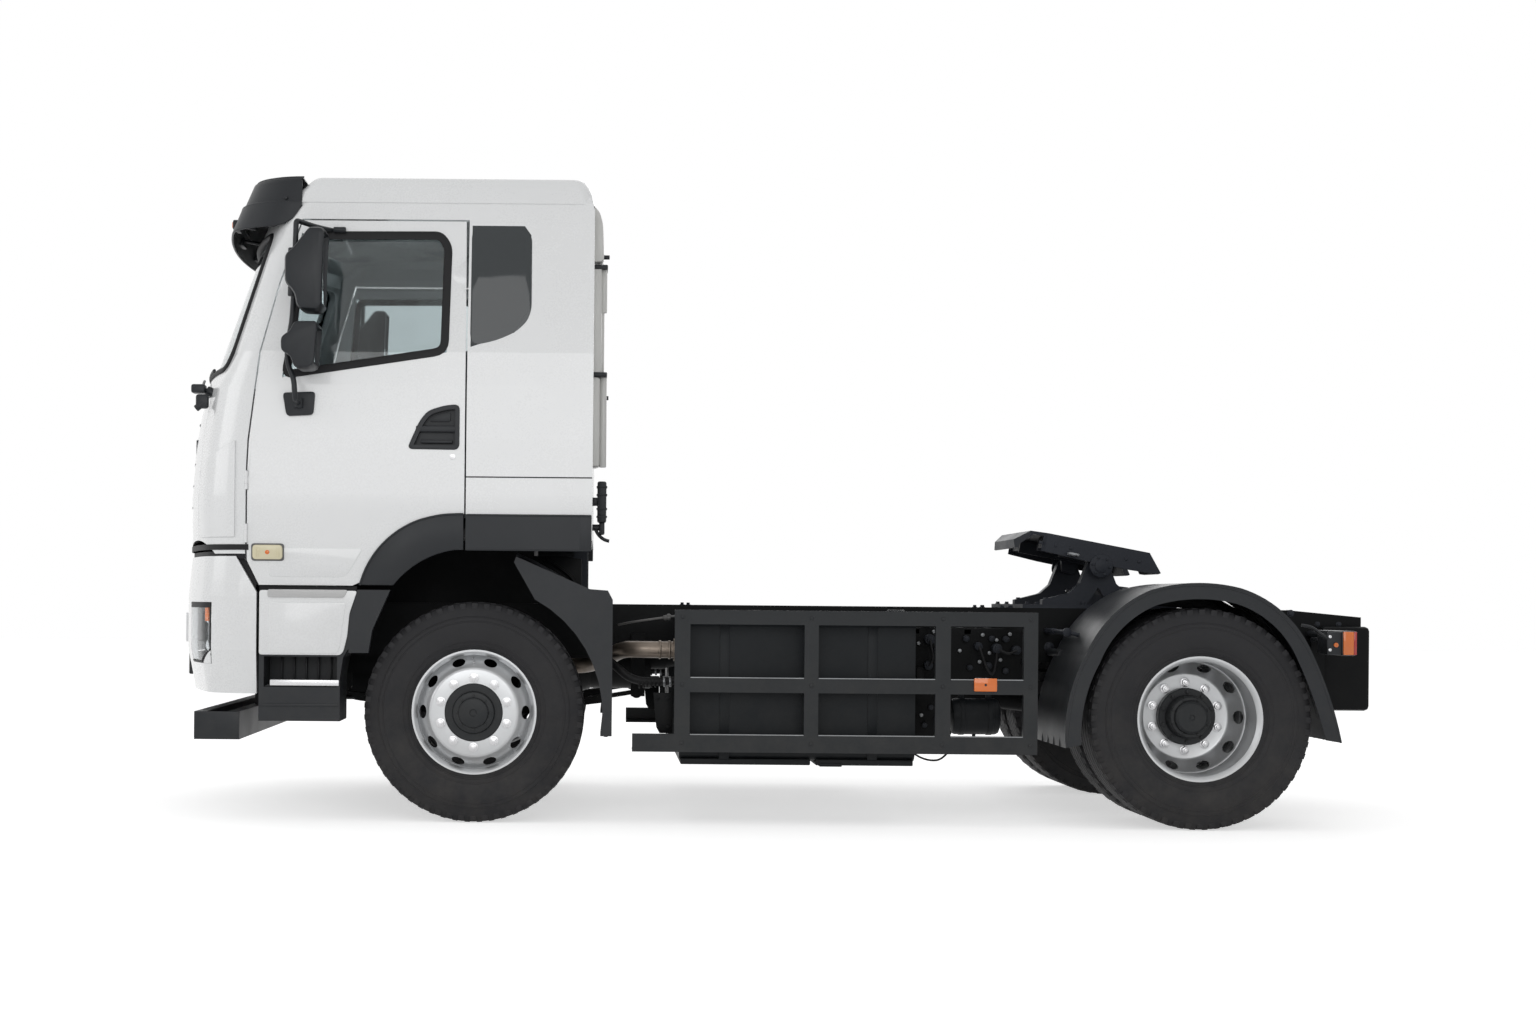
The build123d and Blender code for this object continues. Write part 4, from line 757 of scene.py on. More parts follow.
def skin_line(rows, z, back, grow=0.0, arc_steps=14, corner_steps=8):
    """Points (x, y, z) round the front, from x = back on the left to x = back on the right."""
    half, front, arc, corner = row_at(rows, z)
    half, front, arc, corner = half + grow, front - grow, arc + grow, corner + grow
    middle = front + arc
    cy = half - corner
    cx = middle - math.sqrt((arc - corner) ** 2 - cy ** 2)
    angle = math.atan2(cy, middle - cx)
    right = []
    for i in range(arc_steps + 1):
        turn = angle * i / arc_steps
        right.append((middle - arc * math.cos(turn), arc * math.sin(turn), z))
    for i in range(1, corner_steps + 1):
        turn = angle + (math.pi / 2 - angle) * i / corner_steps
        right.append((cx - corner * math.cos(turn), cy + corner * math.sin(turn), z))
    right.append((back, half, z))
    return [(x, -y, height) for x, y, height in reversed(right)] + right[1:]


def side_y(z):
    """The left skin's y at a height."""
    return -row_at(CAB_ROWS, z)[0]


def front_x(y, z, rows=CAB_ROWS):
    """The front skin's x at a width and height."""
    _, front, arc, _ = row_at(rows, z)
    return front + arc - math.sqrt(arc ** 2 - y ** 2)


print("skin at the door handle stands", round(-side_y(1900)), "mm from the middle")


# %% Bands, seals and panels on the skin
def band(rows, low, high, back, out, thick):
    """A strip round the front between two heights, standing out from the skin."""
    points = skin_line(rows, low, back, out) + skin_line(rows, low, back, out - thick)[::-1]
    piece = pushed(drawn([at(*point) for point in points]), 0, 0, high - low)
    shade(piece)
    return piece


def rounded(outline, radius, steps=5):
    """The same outline with round corners."""
    points = []
    count = len(outline)
    for i, corner in enumerate(outline):
        here = Vector(corner)
        before, after = Vector(outline[i - 1]) - here, Vector(outline[(i + 1) % count]) - here
        reach = min(radius, before.length * 0.45, after.length * 0.45)
        start, end = here + before.normalized() * reach, here + after.normalized() * reach
        for step in range(steps + 1):
            share = step / steps
            points.append(tuple(start * (1 - share) ** 2 + here * 2 * share * (1 - share) + end * share ** 2))
    return points


def side_face(outline, out=0.0):
    """A face on the left skin from an (x, z) outline; edit mode is left open with it selected."""
    return drawn([at(x, side_y(z) - out, z) for x, z in outline])


def side_ring(outline, width, depth, out=1.0, round_mm=3.0):
    """A frame of the given width on the left skin, its outer edge on the outline."""
    piece = side_face(outline, out)
    bpy.ops.mesh.inset(thickness=width / 1000, depth=0)
    bpy.ops.mesh.delete(type="FACE")
    bpy.ops.mesh.select_all(action="SELECT")
    soften(pushed(piece, 0, depth, 0), round_mm / 1000)
    return piece


def side_pad(outline, depth, out, round_mm=3.0):
    """A panel on the left skin, out millimetres proud of it and depth thick."""
    piece = pushed(side_face(outline, out), 0, depth, 0)
    soften(piece, round_mm / 1000)
    return piece


print("bands, rings and pads ready")

# %% [markdown]
# ## Window seals and dark quarter glass
# A black rubber seal frames each door window. It is a face the size of the window, inset by the seal's
# width, with the middle deleted and the rest given a depth. The quarter window is bonded from outside, so
# its dark glass lies over its opening with round corners.

# %% Seals of the side windows
DOOR_WINDOW = [(-131, 2789), (-141, 2266), (-931, 2139), (-905, 2290), (-856, 2852), (-181, 2857)]
SEAL_WIDTH = 40.0
QUARTER = [(-26, 2892), (200, 2890), (262, 2850), (264, 2484), (244, 2425), (190, 2372), (100, 2330),
    (-26, 2300)]
seal_line = [(x + (8 if x > -500 else -8), z + (8 if z > 2500 else -8)) for x, z in DOOR_WINDOW]
seal = side_ring(rounded(seal_line, 70), SEAL_WIDTH, 12, out=3, round_mm=3)
both_sides(seal, "window_seal", "soft rubber", "left_door")
quarter_glass = side_pad(rounded([(x - 4 if x < 0 else x, z) for x, z in QUARTER], 60), 5, 1.5, 1.2)
both_sides(quarter_glass, "quarter_glass", "dark glass", "cab")
print("side windows sealed")

# %% Windscreen seal
SCREEN = ((1070, 2196), (985, 2868))


def screen_loop(out):
    """The loop of the windscreen's edge on the front skin."""
    (low_y, low_z), (top_y, top_z) = SCREEN
    steps = 16
    places = [(-low_y + 2 * low_y * i / steps, low_z) for i in range(steps + 1)]
    places += [(low_y + (top_y - low_y) * i / 8, low_z + (top_z - low_z) * i / 8) for i in range(1, 9)]
    places += [(top_y - 2 * top_y * i / steps, top_z) for i in range(1, steps + 1)]
    places += [(-top_y + (top_y - low_y) * i / 8, top_z + (low_z - top_z) * i / 8) for i in range(1, 8)]
    return [(front_x(y, z) - out, y, z) for y, z in places]


loop = line_mesh([at(*point) for point in screen_loop(-4)], True, smooth=True, resolution=3)
loop.data.bevel_depth = 0.017
loop.data.bevel_resolution = 3
only(loop)
bpy.ops.object.convert(target="MESH")
loop = bpy.context.object
shade(loop, 60)
named(loop, "windscreen_seal", "soft rubber", "cab")
print("windscreen sealed")

# %% [markdown]
# ## Doors
# The door is the frame's own panel with a deep recess for the handle. A copy of the panel is merged, and a
# wedge-shaped block is cut out of it. A black tub with a raised rim lines the recess and a horizontal grip
# crosses it. The lock, the raised panel at the door's foot and the side marker follow.

# %% Door panels with handle recess
RECESS = [(-321, 1806), (-79, 1804), (-79, 2012), (-140, 2006), (-222, 1980), (-262, 1930)]


def copy_of(node):
    """A merged copy of a frame node's mesh, ready to be worked on."""
    only(nodes[node])
    bpy.ops.object.duplicate()
    piece = bpy.context.object
    world = piece.matrix_world.copy()
    piece.parent = None
    piece.matrix_world = world
    for key in list(piece.keys()):
        del piece[key]
    tidy_faces(piece)
    return piece


def recess_cutter(outline, depth):
    """A block from outside the skin to depth behind it."""
    return plate(rounded(outline, 26), side_y(1900) - 40, side_y(1900) + depth, 0)


door = copy_of("door_left")
cut(door, recess_cutter(RECESS, 34))
only(door)
bpy.ops.object.shade_flat()
both_sides(door, "door_panel", "cab white", "left_door", node="door")

skin = side_y(1900)
tub_floor = plate(rounded(RECESS, 26), skin + 28, skin + 33.5, 0)
rim_line = [(x + (4 if x > -100 else -6), z + (-6 if z < 1900 else 6)) for x, z in RECESS]
rim_piece = side_ring(rounded(rim_line, 30), 22, 30, out=3, round_mm=3)
grip = bar((-286, -84), (skin - 2, skin + 12), (1884, 1914), 6)
ledge = bar((-262, -110), (skin + 8, skin + 26), (1830, 1846), 4)
hood = plate(rounded([(-225, 1935), (-120, 1935), (-120, 1985), (-180, 1972)], 14), skin + 18, skin + 29, 2)
handle = joined([rim_piece, tub_floor, grip, ledge, hood])
both_sides(handle, "door_handle", "moulded black", "left_door")
lock = joined([rod((-108, side_y(1765) + 4, 1765), (-108, side_y(1765) - 3, 1765), 15, 28, 1),
    rod((-108, side_y(1765), 1765), (-108, side_y(1765) - 5, 1765), 9, 24, 1)])
both_sides(lock, "door_lock", "bright steel", "left_door")
print("doors with handles and locks")

# %% Foot panel and side marker
foot_panel = side_pad(rounded([(-990, 1182), (-618, 1182), (-530, 1322), (-990, 1322)], 30), 6, 2.2, 4)
both_sides(foot_panel, "door_foot_panel", "cab white", "left_door")
marker_base = side_pad(rounded([(-1070, 1258), (-912, 1258), (-912, 1342), (-1070, 1342)], 16), 10, 7, 3)
both_sides(marker_base, "side_marker_base", "raw casting", "left_door")
marker_lens = side_pad(rounded([(-1063, 1265), (-919, 1265), (-919, 1335), (-1063, 1335)], 18), 18, 18, 6)
flutes = [side_pad([(x, 1276), (x + 3, 1276), (x + 3, 1324), (x, 1324)], 4, 20, 0.6)
    for x in (-1046, -1034, -948, -936)]
both_sides(joined([marker_lens] + flutes), "side_marker", "cream lens", "left_door")
bulb = turned([(side_y(1300) - out, radius) for out, radius in ((21.5, 1), (20, 8), (17, 11), (15, 1))],
    -991, 1300, 24)
both_sides(bulb, "side_marker_bulb", "amber lens", "left_door")
seam = bar((-42, 563), (side_y(1669) - 0.8, side_y(1669) + 3), (1666, 1672), 0)
both_sides(seam, "side_seam", "soft rubber", "cab")
print("foot panels and markers on")

# %% [markdown]
# ## Mirrors
# Two housings hang on one bent tube that stands on the door. A housing is a moulded shell, deeper at its
# middle than at its ends, so its side outline is drawn, given the housing's width and rounded generously.
# A pocket is cut in its rear face, and the mirror glass sits in that pocket.

# %% Mirror housings on their tube
MIRROR_Y = (-1518, -1312)
ARM_Y = -1390
BIG_SHELL = [(-768, 2819), (-693, 2819), (-707, 2446), (-734, 2428), (-824, 2433), (-836, 2511), (-883, 2557),
    (-883, 2689), (-844, 2722), (-789, 2794)]
SMALL_SHELL = [(-835, 2376), (-731, 2376), (-726, 2350), (-742, 2160), (-835, 2157), (-850, 2214),
    (-895, 2236), (-897, 2303), (-854, 2330)]


def mirror_head(shell, glass_x, low, top):
    """A housing with a pocket for its glass."""
    housing = plate(rounded(shell, 34, 4), MIRROR_Y[0], MIRROR_Y[1], 26)
    pocket = bar((glass_x - 12, glass_x + 60), (MIRROR_Y[0] + 17, MIRROR_Y[1] - 17), (low, top), 10)
    cut(housing, pocket)
    shade(housing, 40)
    glass = bar((glass_x - 14, glass_x - 8), (MIRROR_Y[0] + 18, MIRROR_Y[1] - 18), (low + 1, top - 1), 2)
    return housing, glass


big, big_glass = mirror_head(BIG_SHELL, -706, 2462, 2800)
small, small_glass = mirror_head(SMALL_SHELL, -742, 2180, 2356)
arm = tube([(-846, ARM_Y, 2856), (-850, ARM_Y, 2700), (-858, ARM_Y, 2400), (-880, ARM_Y, 2300),
    (-884, ARM_Y, 2190), (-850, ARM_Y, 2120), (-846, ARM_Y, 2040), (-846, ARM_Y + 40, 2014),
    (-846, -1240, 2014)], 13)
clamps = [rod((-862, ARM_Y, z), (-862, ARM_Y, z + 46), 21, 20, 4) for z in (2690, 2508, 2250)]
head = joined([tube([(-846, ARM_Y, 2854), (-846, ARM_Y, 2866), (-830, ARM_Y + 30, 2866), (-760, -1190, 2866),
    (-700, -1120, 2866)], 12), rod((-700, -1150, 2866), (-640, -1150, 2866), 14, 20, 4)])
foot = joined([side_pad(rounded([(-925, 2066), (-769, 2072), (-777, 1960), (-905, 1953)], 20), 22, 18, 5),
    rod((-846, -1262, 1990), (-846, -1262, 2042), 22, 24, 5)])
mirror_frame = joined([big, small, arm, head, foot] + clamps)
both_sides(mirror_frame, "mirror_housings", "moulded black", "left_door", node="mirrors")
both_sides(joined([big_glass, small_glass]), "mirror_glasses", "mirror glass", "left_door")
print("mirrors hang on the doors")

# %% [markdown]
# ## Sun visor
# The visor is two bands of satin plastic that wrap the front of the roof, the lower one lapped over the
# upper, with a thin deck closing its top. Each band could be bent from a flat strip, but its plan changes
# with height, so a grid is laid on the visor's plan sections instead and a Solidify modifier gives it its
# wall. Along the side the lower edge sweeps up to the door's corner and the rear top corner is round.

# %% Lines of the visor
VISOR_ROWS = [(2890, 1100, -1330, 4000, 280), (3006, 1100, -1282, 4000, 280), (3129, 1080, -1229, 4000, 270),
    (3145, 1050, -1190, 4000, 250)]
VISOR_REAR = -862
VISOR_WALL = 7.0
VISOR_SIDE_EDGE = [(-1600, 2891), (-1000, 2894), (-947, 2907), (-906, 2933), (-872, 2982), (VISOR_REAR, 2996)]
VISOR_CORNER = 68.0
VISOR_TOP = 3141.0
VISOR_LAP = 3010.0              # where the lower band ends over the upper one


def grid_sheet(columns, rows, place_of, wall=0.0, angle=45):
    """A grid placed by place_of(share along, share up) in millimetres, with a wall where one is given."""
    bpy.ops.object.select_all(action="DESELECT")
    bpy.ops.mesh.primitive_grid_add(x_subdivisions=columns, y_subdivisions=rows, size=1)
    piece = bpy.context.object
    for vertex in piece.data.vertices:
        vertex.co = at(*place_of(vertex.co.x + 0.5, vertex.co.y + 0.5))
    if wall:
        only(piece)
        solid = piece.modifiers.new("wall", "SOLIDIFY")
        solid.thickness = wall / 1000
        solid.offset = 0
        bpy.ops.object.modifier_apply(modifier=solid.name)
    tidy_faces(piece)
    shade(piece, angle)
    return piece


def visor_line(z, grow):
    """The visor's plan at a height, with extra points along its straight sides."""
    line = skin_line(VISOR_ROWS, z, VISOR_REAR, grow, 18, 9)
    steps = 10
    left = [tuple(a + (b - a) * i / steps for a, b in zip(line[0], line[1])) for i in range(steps)]
    return left + line[1:-1] + [(x, -y, height) for x, y, height in reversed(left)]


def visor_low_edge(x):
    for (x0, z0), (x1, z1) in zip(VISOR_SIDE_EDGE, VISOR_SIDE_EDGE[1:]):
        if x <= x1:
            return z0 + (z1 - z0) * (x - x0) / (x1 - x0)
    return VISOR_SIDE_EDGE[-1][1]


def visor_top_edge(x):
    """Level, with a quarter round at the rear corner."""
    past = min(max(x - (VISOR_REAR - VISOR_CORNER), 0.0), VISOR_CORNER)
    return VISOR_TOP - VISOR_CORNER + math.sqrt(VISOR_CORNER ** 2 - past ** 2)


def visor_band(low_of, top_of, rows, grow):
    """A band between two edges whose heights depend on x."""
    base = visor_line(2900, grow)
    columns = len(base) - 1

    def place_of(along, up):
        column = round(along * columns)
        height = low_of(base[column][0]) * (1 - up) + top_of(base[column][0]) * up
        return visor_line(height, grow)[column]

    return grid_sheet(columns, rows, place_of, VISOR_WALL)


print("visor lines from x", VISOR_REAR, "to", VISOR_ROWS[0][2])

# %% Two bands, lips, deck and screws
upper = visor_band(lambda x: 2996, visor_top_edge, 9, -6)
lower = visor_band(visor_low_edge, lambda x: VISOR_LAP, 7, 4)
lip = tube([(x, y, visor_low_edge(x)) for x, y, z in visor_line(2895, 2)], 5.5, smooth=False, sides=3)
fold = tube(visor_line(VISOR_LAP, 4), 5, smooth=False, sides=3)
deck = pushed(drawn([at(*point) for point in visor_line(3133, -4)]), 0, 0, 6)
screws = [rod((-940, side * 1080, 3030), (-940, side * 1103, 3030), 9, 16, 3) for side in (-1, 1)]
stays = [tube([(-1290 + (y / 1000) ** 2 * 110, y, 2960), (-1215, y, 2945), (-1140, y, 2935)], 9, sides=3)
    for y in (-760, -260, 260, 760)]
visor = joined([upper, lower, lip, fold, deck] + screws + stays)
named(visor, "visor_bands", "moulded black", "cab")
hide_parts("sun_visor")
for number, y in enumerate((-720, -240, 240, 720)):
    x = VISOR_ROWS[0][2] + 24 + (y / 1000) ** 2 * 125
    lamp_case = bar((x - 14, x + 16), (y - 62, y + 62), (2928, 2978), 8)
    lens = bar((x - 19, x - 8), (y - 50, y + 50), (2937, 2969), 5)
    named(lamp_case, f"visor_lamp_case_{number}", "moulded black", "cab")
    named(lens, f"visor_lamp_lens_{number}", "amber lens", "cab")
print("visor of", len(visor.data.polygons), "faces, four clearance lamps")

# %% [markdown]
# ## Roof skin
# A cab roof is pressed in one piece, with nearly upright sides and a tight radius at the top. The skin is
# a stack of closed plan outlines, each the same number of points, joined row by row. The last rows shrink
# to the middle, which closes the top without a seam.

# %% Stack of roof outlines
ROOF_ROWS = [(3008, 1108, -1000, 9000, 140), (3060, 1096, -960, 9000, 100), (3100, 1082, -905, 9000, 60),
    (3125, 1066, -880, 9000, 50), (3138, 1046, -862, 9000, 45), (3144, 1010, -850, 9000, 40)]
ROOF_REAR = (564, 553, 535, 519, 505, 478)
ROOF_CORNER = 60.0
ROOF_MIDDLE, ROOF_CROWN = -150, 3144.5


def roof_loop(row, rear):
    """A closed plan outline at one of the roof's heights."""
    z, half = row[:2]
    back = rear - ROOF_CORNER
    loop = skin_line(ROOF_ROWS, z, back, 0, 10, 8)
    arc = [(back + ROOF_CORNER * math.sin(t), half - ROOF_CORNER + ROOF_CORNER * math.cos(t), z)
        for t in (math.pi / 2 * i / 6 for i in range(1, 7))]
    return loop + arc + [(x, -y, height) for x, y, height in reversed(arc)]


loops = [roof_loop(row, rear) for row, rear in zip(ROOF_ROWS, ROOF_REAR)]
for shrink in (0.5, 0.0):
    loops.append([(ROOF_MIDDLE + (x - ROOF_MIDDLE) * shrink, y * shrink, ROOF_CROWN) for x, y, z in loops[5]])
count, last = len(loops[0]), len(loops) - 1
roof_skin = grid_sheet(count, last, lambda along, up: loops[round(up * last)][round(along * count) % count],
    angle=50)
named(roof_skin, "roof_skin", "cab white", "cab")
print("roof skin of", len(roof_skin.data.polygons), "faces")

# %% [markdown]
# ## Wipers, nose gap and the service flap's grille
# Three wipers park along the screen's lower edge. Their pivots stand at the corner of the nose, where one
# shows from the side. Below the nose dark strips fill the gap that lets the cab tilt clear of the bumper:
# painted shade for the shadow in that gap. The flap's slots are closed from behind by a dark mesh.

# %% Wipers
def wire_panel(x, half, low, top, rows, columns, wire, deep, inset):
    """A dark sheet with level and upright wires in front of it; the sheet is painted shade behind the mesh.
    """
    # The first bar is the dark sheet behind the wires: painted shade.
    wires = [bar((x, x + 6), (-half, half), (low, top), 1)]
    wires += [bar((x - deep, x), (inset - half, half - inset), (z, z + wire), 0) for z in rows]
    wires += [bar((x - deep, x), (y - wire / 2, y + wire / 2), (low + 2, top - 2), 0) for y in columns]
    return joined(wires)


wiper_parts = []
for pivot_y, tip_y in ((-930, -330), (-250, 350), (430, 1010)):
    base_x = front_x(pivot_y, 2110) - 14
    wiper_parts.append(rod((base_x + 30, pivot_y, 2085), (base_x - 14, pivot_y, 2104), 24, 20, 5))
    wiper_parts.append(rod((base_x - 8, pivot_y, 2098), (base_x - 30, pivot_y, 2106), 13, 16, 3))
    mid_y = (pivot_y + tip_y) / 2
    arm_line = [(base_x - 22, pivot_y, 2104), (front_x(mid_y, 2160) - 40, mid_y, 2160),
        (front_x(tip_y, 2205) - 34, tip_y - 60, 2205)]
    wiper_parts.append(tube(arm_line, 7, sides=3))
    blade_line = [(front_x(y, 2216) - 17, y, 2216) for y in (tip_y - 480, tip_y - 240, tip_y)]
    wiper_parts.append(tube(blade_line, 8, sides=3))
corner = [bar((-1420, -1352), (-975, -905), (2088, 2132), 10),
    bar((-1392, -1330), (-1000, -960), (2010, 2080), 12),
    rod((-1352, -985, 2040), (-1392, -985, 2008), 17, 18, 4)]
washer = joined([copy_mirrored(piece) for piece in corner] + corner)
named(joined(wiper_parts + [washer]), "wipers", "moulded black", "cab")
print("wipers parked")

# %% Painted shade in the nose gap, flap mesh and slats
# Dark rubber strips fill the gap between the nose and the bumper and at its side: painted shade for the
# shadow in that gap.
named(band(CAB_ROWS, 1310, 1337, -1106, 4, 8), "nose_gap_painted_shade", "soft rubber", "cab")
named(band(BUMPER_ROWS, 1268, 1302, -1106, -9, 8), "bumper_gap_painted_shade", "soft rubber", "chassis")
gap_shade_side = plate([(-1168, 1300), (-1168, 1336), (-1102, 1336), (-1046, 1148), (-1060, 1112), (-1076, 1150),
    (-1150, 1262)], -1212, -1188, 2)
both_sides(gap_shade_side, "nose_gap_side_painted_shade", "soft rubber", "cab")
mesh_x = front_x(0, 1650) + 92
grille = wire_panel(mesh_x, 650, 1460, 1880, range(1472, 1880, 34), range(-640, 641, 40), 5, 6, 5)
named(grille, "flap_mesh", "moulded black", "service_flap")
for z in (1478, 1588, 1698, 1808):
    points = [(front_x(y, z + 56) + 3, y, z + 56) for y in range(-660, 661, 60)]
    named(tube(points, 6, sides=3), f"flap_slat_{z}", "gloss black", "service_flap")
trim_bar = tube([(front_x(y, 1960) + 4, y, 1960) for y in range(-560, 561, 56)], 9, sides=3)
named(trim_bar, "flap_trim_bar", "gloss black", "service_flap")
print("nose dressed")

# %% [markdown]
# ## Headlamps
# A lorry's headlamp is a dark-edged pocket in the bumper with four chromed bowls, an amber turn lamp and
# one clear cover over all of it. The frame's lamp solid fills the pocket to the skin, so it is replaced by
# a backplate, bowls turned from a cone, and a cover that follows the bumper's skin. The cover is a grid
# laid on the skin by the same plan sections as the bumper, so it meets the painted edge all the way round.

# %% A patch of skin
LAMP_LOW, LAMP_TOP = 764.0, 1055.0
LAMP_INNER, LAMP_REAR = 836.0, -1272.0


def skin_path(rows, z, start_y, end_x, grow, count):
    """Evenly spaced points on the left skin from the front at width start_y to the side at end_x."""
    line = [point for point in reversed(skin_line(rows, z, -800, grow, 60, 40)) if point[1] < 0]
    lengths = [0.0]
    for (x0, y0, _), (x1, y1, _) in zip(line, line[1:]):
        lengths.append(lengths[-1] + math.hypot(x1 - x0, y1 - y0))

    def crossing(axis, goal):
        """How far along the line a coordinate reaches its goal."""
        for k, (here, after) in enumerate(zip(line, line[1:])):
            low, high = sorted((here[axis], after[axis]))
            if low <= goal <= high and high > low:
                step = lengths[k + 1] - lengths[k]
                return lengths[k] + step * (goal - here[axis]) / (after[axis] - here[axis])
        return lengths[-1]

    first, last = crossing(1, -start_y), crossing(0, end_x)
    points = []
    for i in range(count + 1):
        goal = first + (last - first) * i / count
        k = max(j for j in range(len(line) - 1) if lengths[j] <= goal + 1e-6)
        share = (goal - lengths[k]) / max(lengths[k + 1] - lengths[k], 1e-9)
        points.append(tuple(a + (b - a) * share for a, b in zip(line[k], line[k + 1])))
    return points


def skin_patch(rows, low, top, start_y, end_x, grow, wall, columns=20, steps=6):
    """A thin sheet on the left skin between two heights, each a number or a function of the share along."""
    def place_of(along, up):
        below, above = (edge(along) if callable(edge) else edge for edge in (low, top))
        z = below * (1 - up) + above * up
        return skin_path(rows, z, start_y, end_x, grow, columns)[round(along * columns)]

    return grid_sheet(columns, steps, place_of, wall)


print("skin patches ready")

# %% Headlamp bowls, cover and turn lamp
lamp_back = skin_patch(BUMPER_ROWS, LAMP_LOW, LAMP_TOP, LAMP_INNER, LAMP_REAR, -62, 6)
edge_low = skin_patch(BUMPER_ROWS, LAMP_LOW, LAMP_LOW + 9, LAMP_INNER, LAMP_REAR, -26, 50, 20, 2)
edge_top = skin_patch(BUMPER_ROWS, LAMP_TOP - 22, LAMP_TOP, LAMP_INNER, LAMP_REAR, -26, 50, 20, 2)


def bowl(x, y, z, radius, aim):
    """A chromed bowl with its lens, aimed along a direction in plan."""
    profile = [(0, 6), (2, radius * 0.35), (radius * 0.35, radius * 0.8), (radius * 0.75, radius),
        (radius * 0.75, radius + 4), (radius * 0.30, radius * 0.84), (-4, radius * 0.36), (-6, 6)]
    cup = turned(profile, 0, 0, 48)
    globe = turned([(2, 1), (radius * 0.25, radius * 0.30), (radius * 0.42, radius * 0.18),
        (radius * 0.46, 1)], 0, 0, 32)
    turn = math.radians(aim)
    home = at(0, 0, 0)
    for part in (cup, globe):
        part.rotation_euler = (0, 0, turn)
        part.location = at(x, y, z) - Vector((home.x * math.cos(turn), home.x * math.sin(turn), 0))
        settle(part)
    return [cup, globe]


bowls = []
for width, height, radius in ((925, 975, 50), (925, 845, 54), (1062, 980, 48), (1070, 848, 60)):
    skin_x, skin_y, _ = min(skin_path(BUMPER_ROWS, height, LAMP_INNER, LAMP_REAR, -58, 60),
        key=lambda point: abs(point[1] + width))
    bowls += bowl(skin_x + 4, skin_y, height, radius, -90 - (width - 900) * 0.16)
both_sides(lamp_back, "headlamp_backplate", "gloss black", "chassis")
both_sides(joined(bowls), "headlamp_bowls", "lamp bowl", "chassis")
lamp_edge = joined([edge_low, edge_top])
both_sides(lamp_edge, "headlamp_edge", "soft rubber", "chassis")
turn_lamp = skin_patch(BUMPER_ROWS, 966, 1034, 1136, LAMP_REAR - 14, -9, 10, 6, 4)
both_sides(turn_lamp, "headlamp_turn_lens", "amber lens", "chassis")
cover = skin_patch(BUMPER_ROWS, LAMP_LOW, LAMP_TOP, LAMP_INNER, LAMP_REAR, -2, 3, 28, 8)
frame_top = skin_patch(BUMPER_ROWS, LAMP_TOP - 24, LAMP_TOP + 2, LAMP_INNER, LAMP_REAR, 0, 4, 28, 2)
frame_rear = skin_patch(BUMPER_ROWS, 800, LAMP_TOP, 1178, LAMP_REAR, 0, 4, 4, 4)
frame_low = skin_patch(BUMPER_ROWS, lambda s: LAMP_LOW + 60 * max(s - 0.70, 0) / 0.30,
    lambda s: LAMP_LOW + 9 + 60 * max(s - 0.70, 0) / 0.30, LAMP_INNER, LAMP_REAR, 0.6, 4, 30, 2)
both_sides(joined([frame_top, frame_rear, frame_low]), "headlamp_frame", "soft rubber", "chassis")
corner_fill = skin_patch(BUMPER_ROWS, LAMP_LOW - 3, lambda s: LAMP_LOW - 2 + 64 * s, 1108, LAMP_REAR, 0.2,
    4, 14, 3)
both_sides(corner_fill, "headlamp_corner_fill", "cab white", "chassis")
for piece in both_sides(cover, "headlamp_cover", "clear lens", "chassis"):
    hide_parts("headlamps")
print("headlamps in their pockets")

# %% [markdown]
# ## Corner fairings and bumper details
# Beside the grille the nose carries a raised fairing that guides air round the corner. It follows the
# skin, so it is a thin patch of skin with its own plan, a few millimetres proud. The bumper gets a mesh in
# its intake and a blank number plate on a bracket.

# %% Fairings, intake mesh and blank plate
FAIRING_REAR = -1152.0
fairing = skin_patch(CAB_ROWS, 1372, lambda s: 1732 + 104 * s ** 1.4, 1010, FAIRING_REAR, 5, 9, 24, 6)
soften(fairing, 0.003, 2, 40)
both_sides(fairing, "corner_fairing", "cab white", "cab")
intake = wire_panel(-1500, 480, 692, 798, range(704, 796, 15), range(-465, 466, 22), 4, 5, 10)
named(intake, "bumper_mesh", "moulded black", "chassis")
plate_x = -1551.0
plate_back = bar((plate_x - 3, plate_x + 46), (-268, 268), (676, 792), 5)
named(plate_back, "plate_bracket", "moulded black", "chassis")
plate_face = bar((plate_x - 7, plate_x - 2), (-260, 260), (680, 788), 2)
named(plate_face, "blank_plate", "bare plate", "chassis")
print("nose corners, intake and plate")

# %% [markdown]
# ## Entry steps
# The frame's step box is moulded black. A painted panel is clipped over its upper half, with a pale grip
# strip along the top where a foot lands. The recess below keeps a ribbed tread and a bright edge strip,
# and ribs stiffen its back wall.

# %% Painted panel, grip strip and treads
STEP_SKIN = -1235.0
panel_line = [(-1030, 808), (-640, 808), (-624, 826), (-606, 900), (-596, 1010), (-560, 1118), (-1030, 1118)]
step_panel = plate(rounded(panel_line, 14), STEP_SKIN - 7, STEP_SKIN + 1, 3)
# A dark strip in the gap between the step panel and the door's foot: painted shadow of the door's lower edge.
shadow_strip = bar((-1036, -566), (-1206, -1190), (1100, 1141), 1)
both_sides(shadow_strip, "step_painted_shadow", "soft rubber", "chassis")
raised = plate(rounded([(-985, 815), (-655, 815), (-640, 850), (-630, 940), (-612, 1060), (-985, 1060)], 12),
    STEP_SKIN - 10, STEP_SKIN - 5, 3)
both_sides(joined([step_panel, raised]), "step_panel", "cab white", "chassis")
grip_strip = plate(rounded([(-989, 1084), (-622, 1084), (-604, 1122), (-989, 1122)], 12), STEP_SKIN - 16,
    STEP_SKIN - 5, 5)
both_sides(grip_strip, "step_grip_strip", "pale plastic", "chassis")
tread = [bar((-1000, -660), (-1228, -1046), (655, 661), 1)]
for x in range(-990, -665, 16):
    tread.append(bar((x, x + 7), (-1226, -1050), (660, 666), 1))
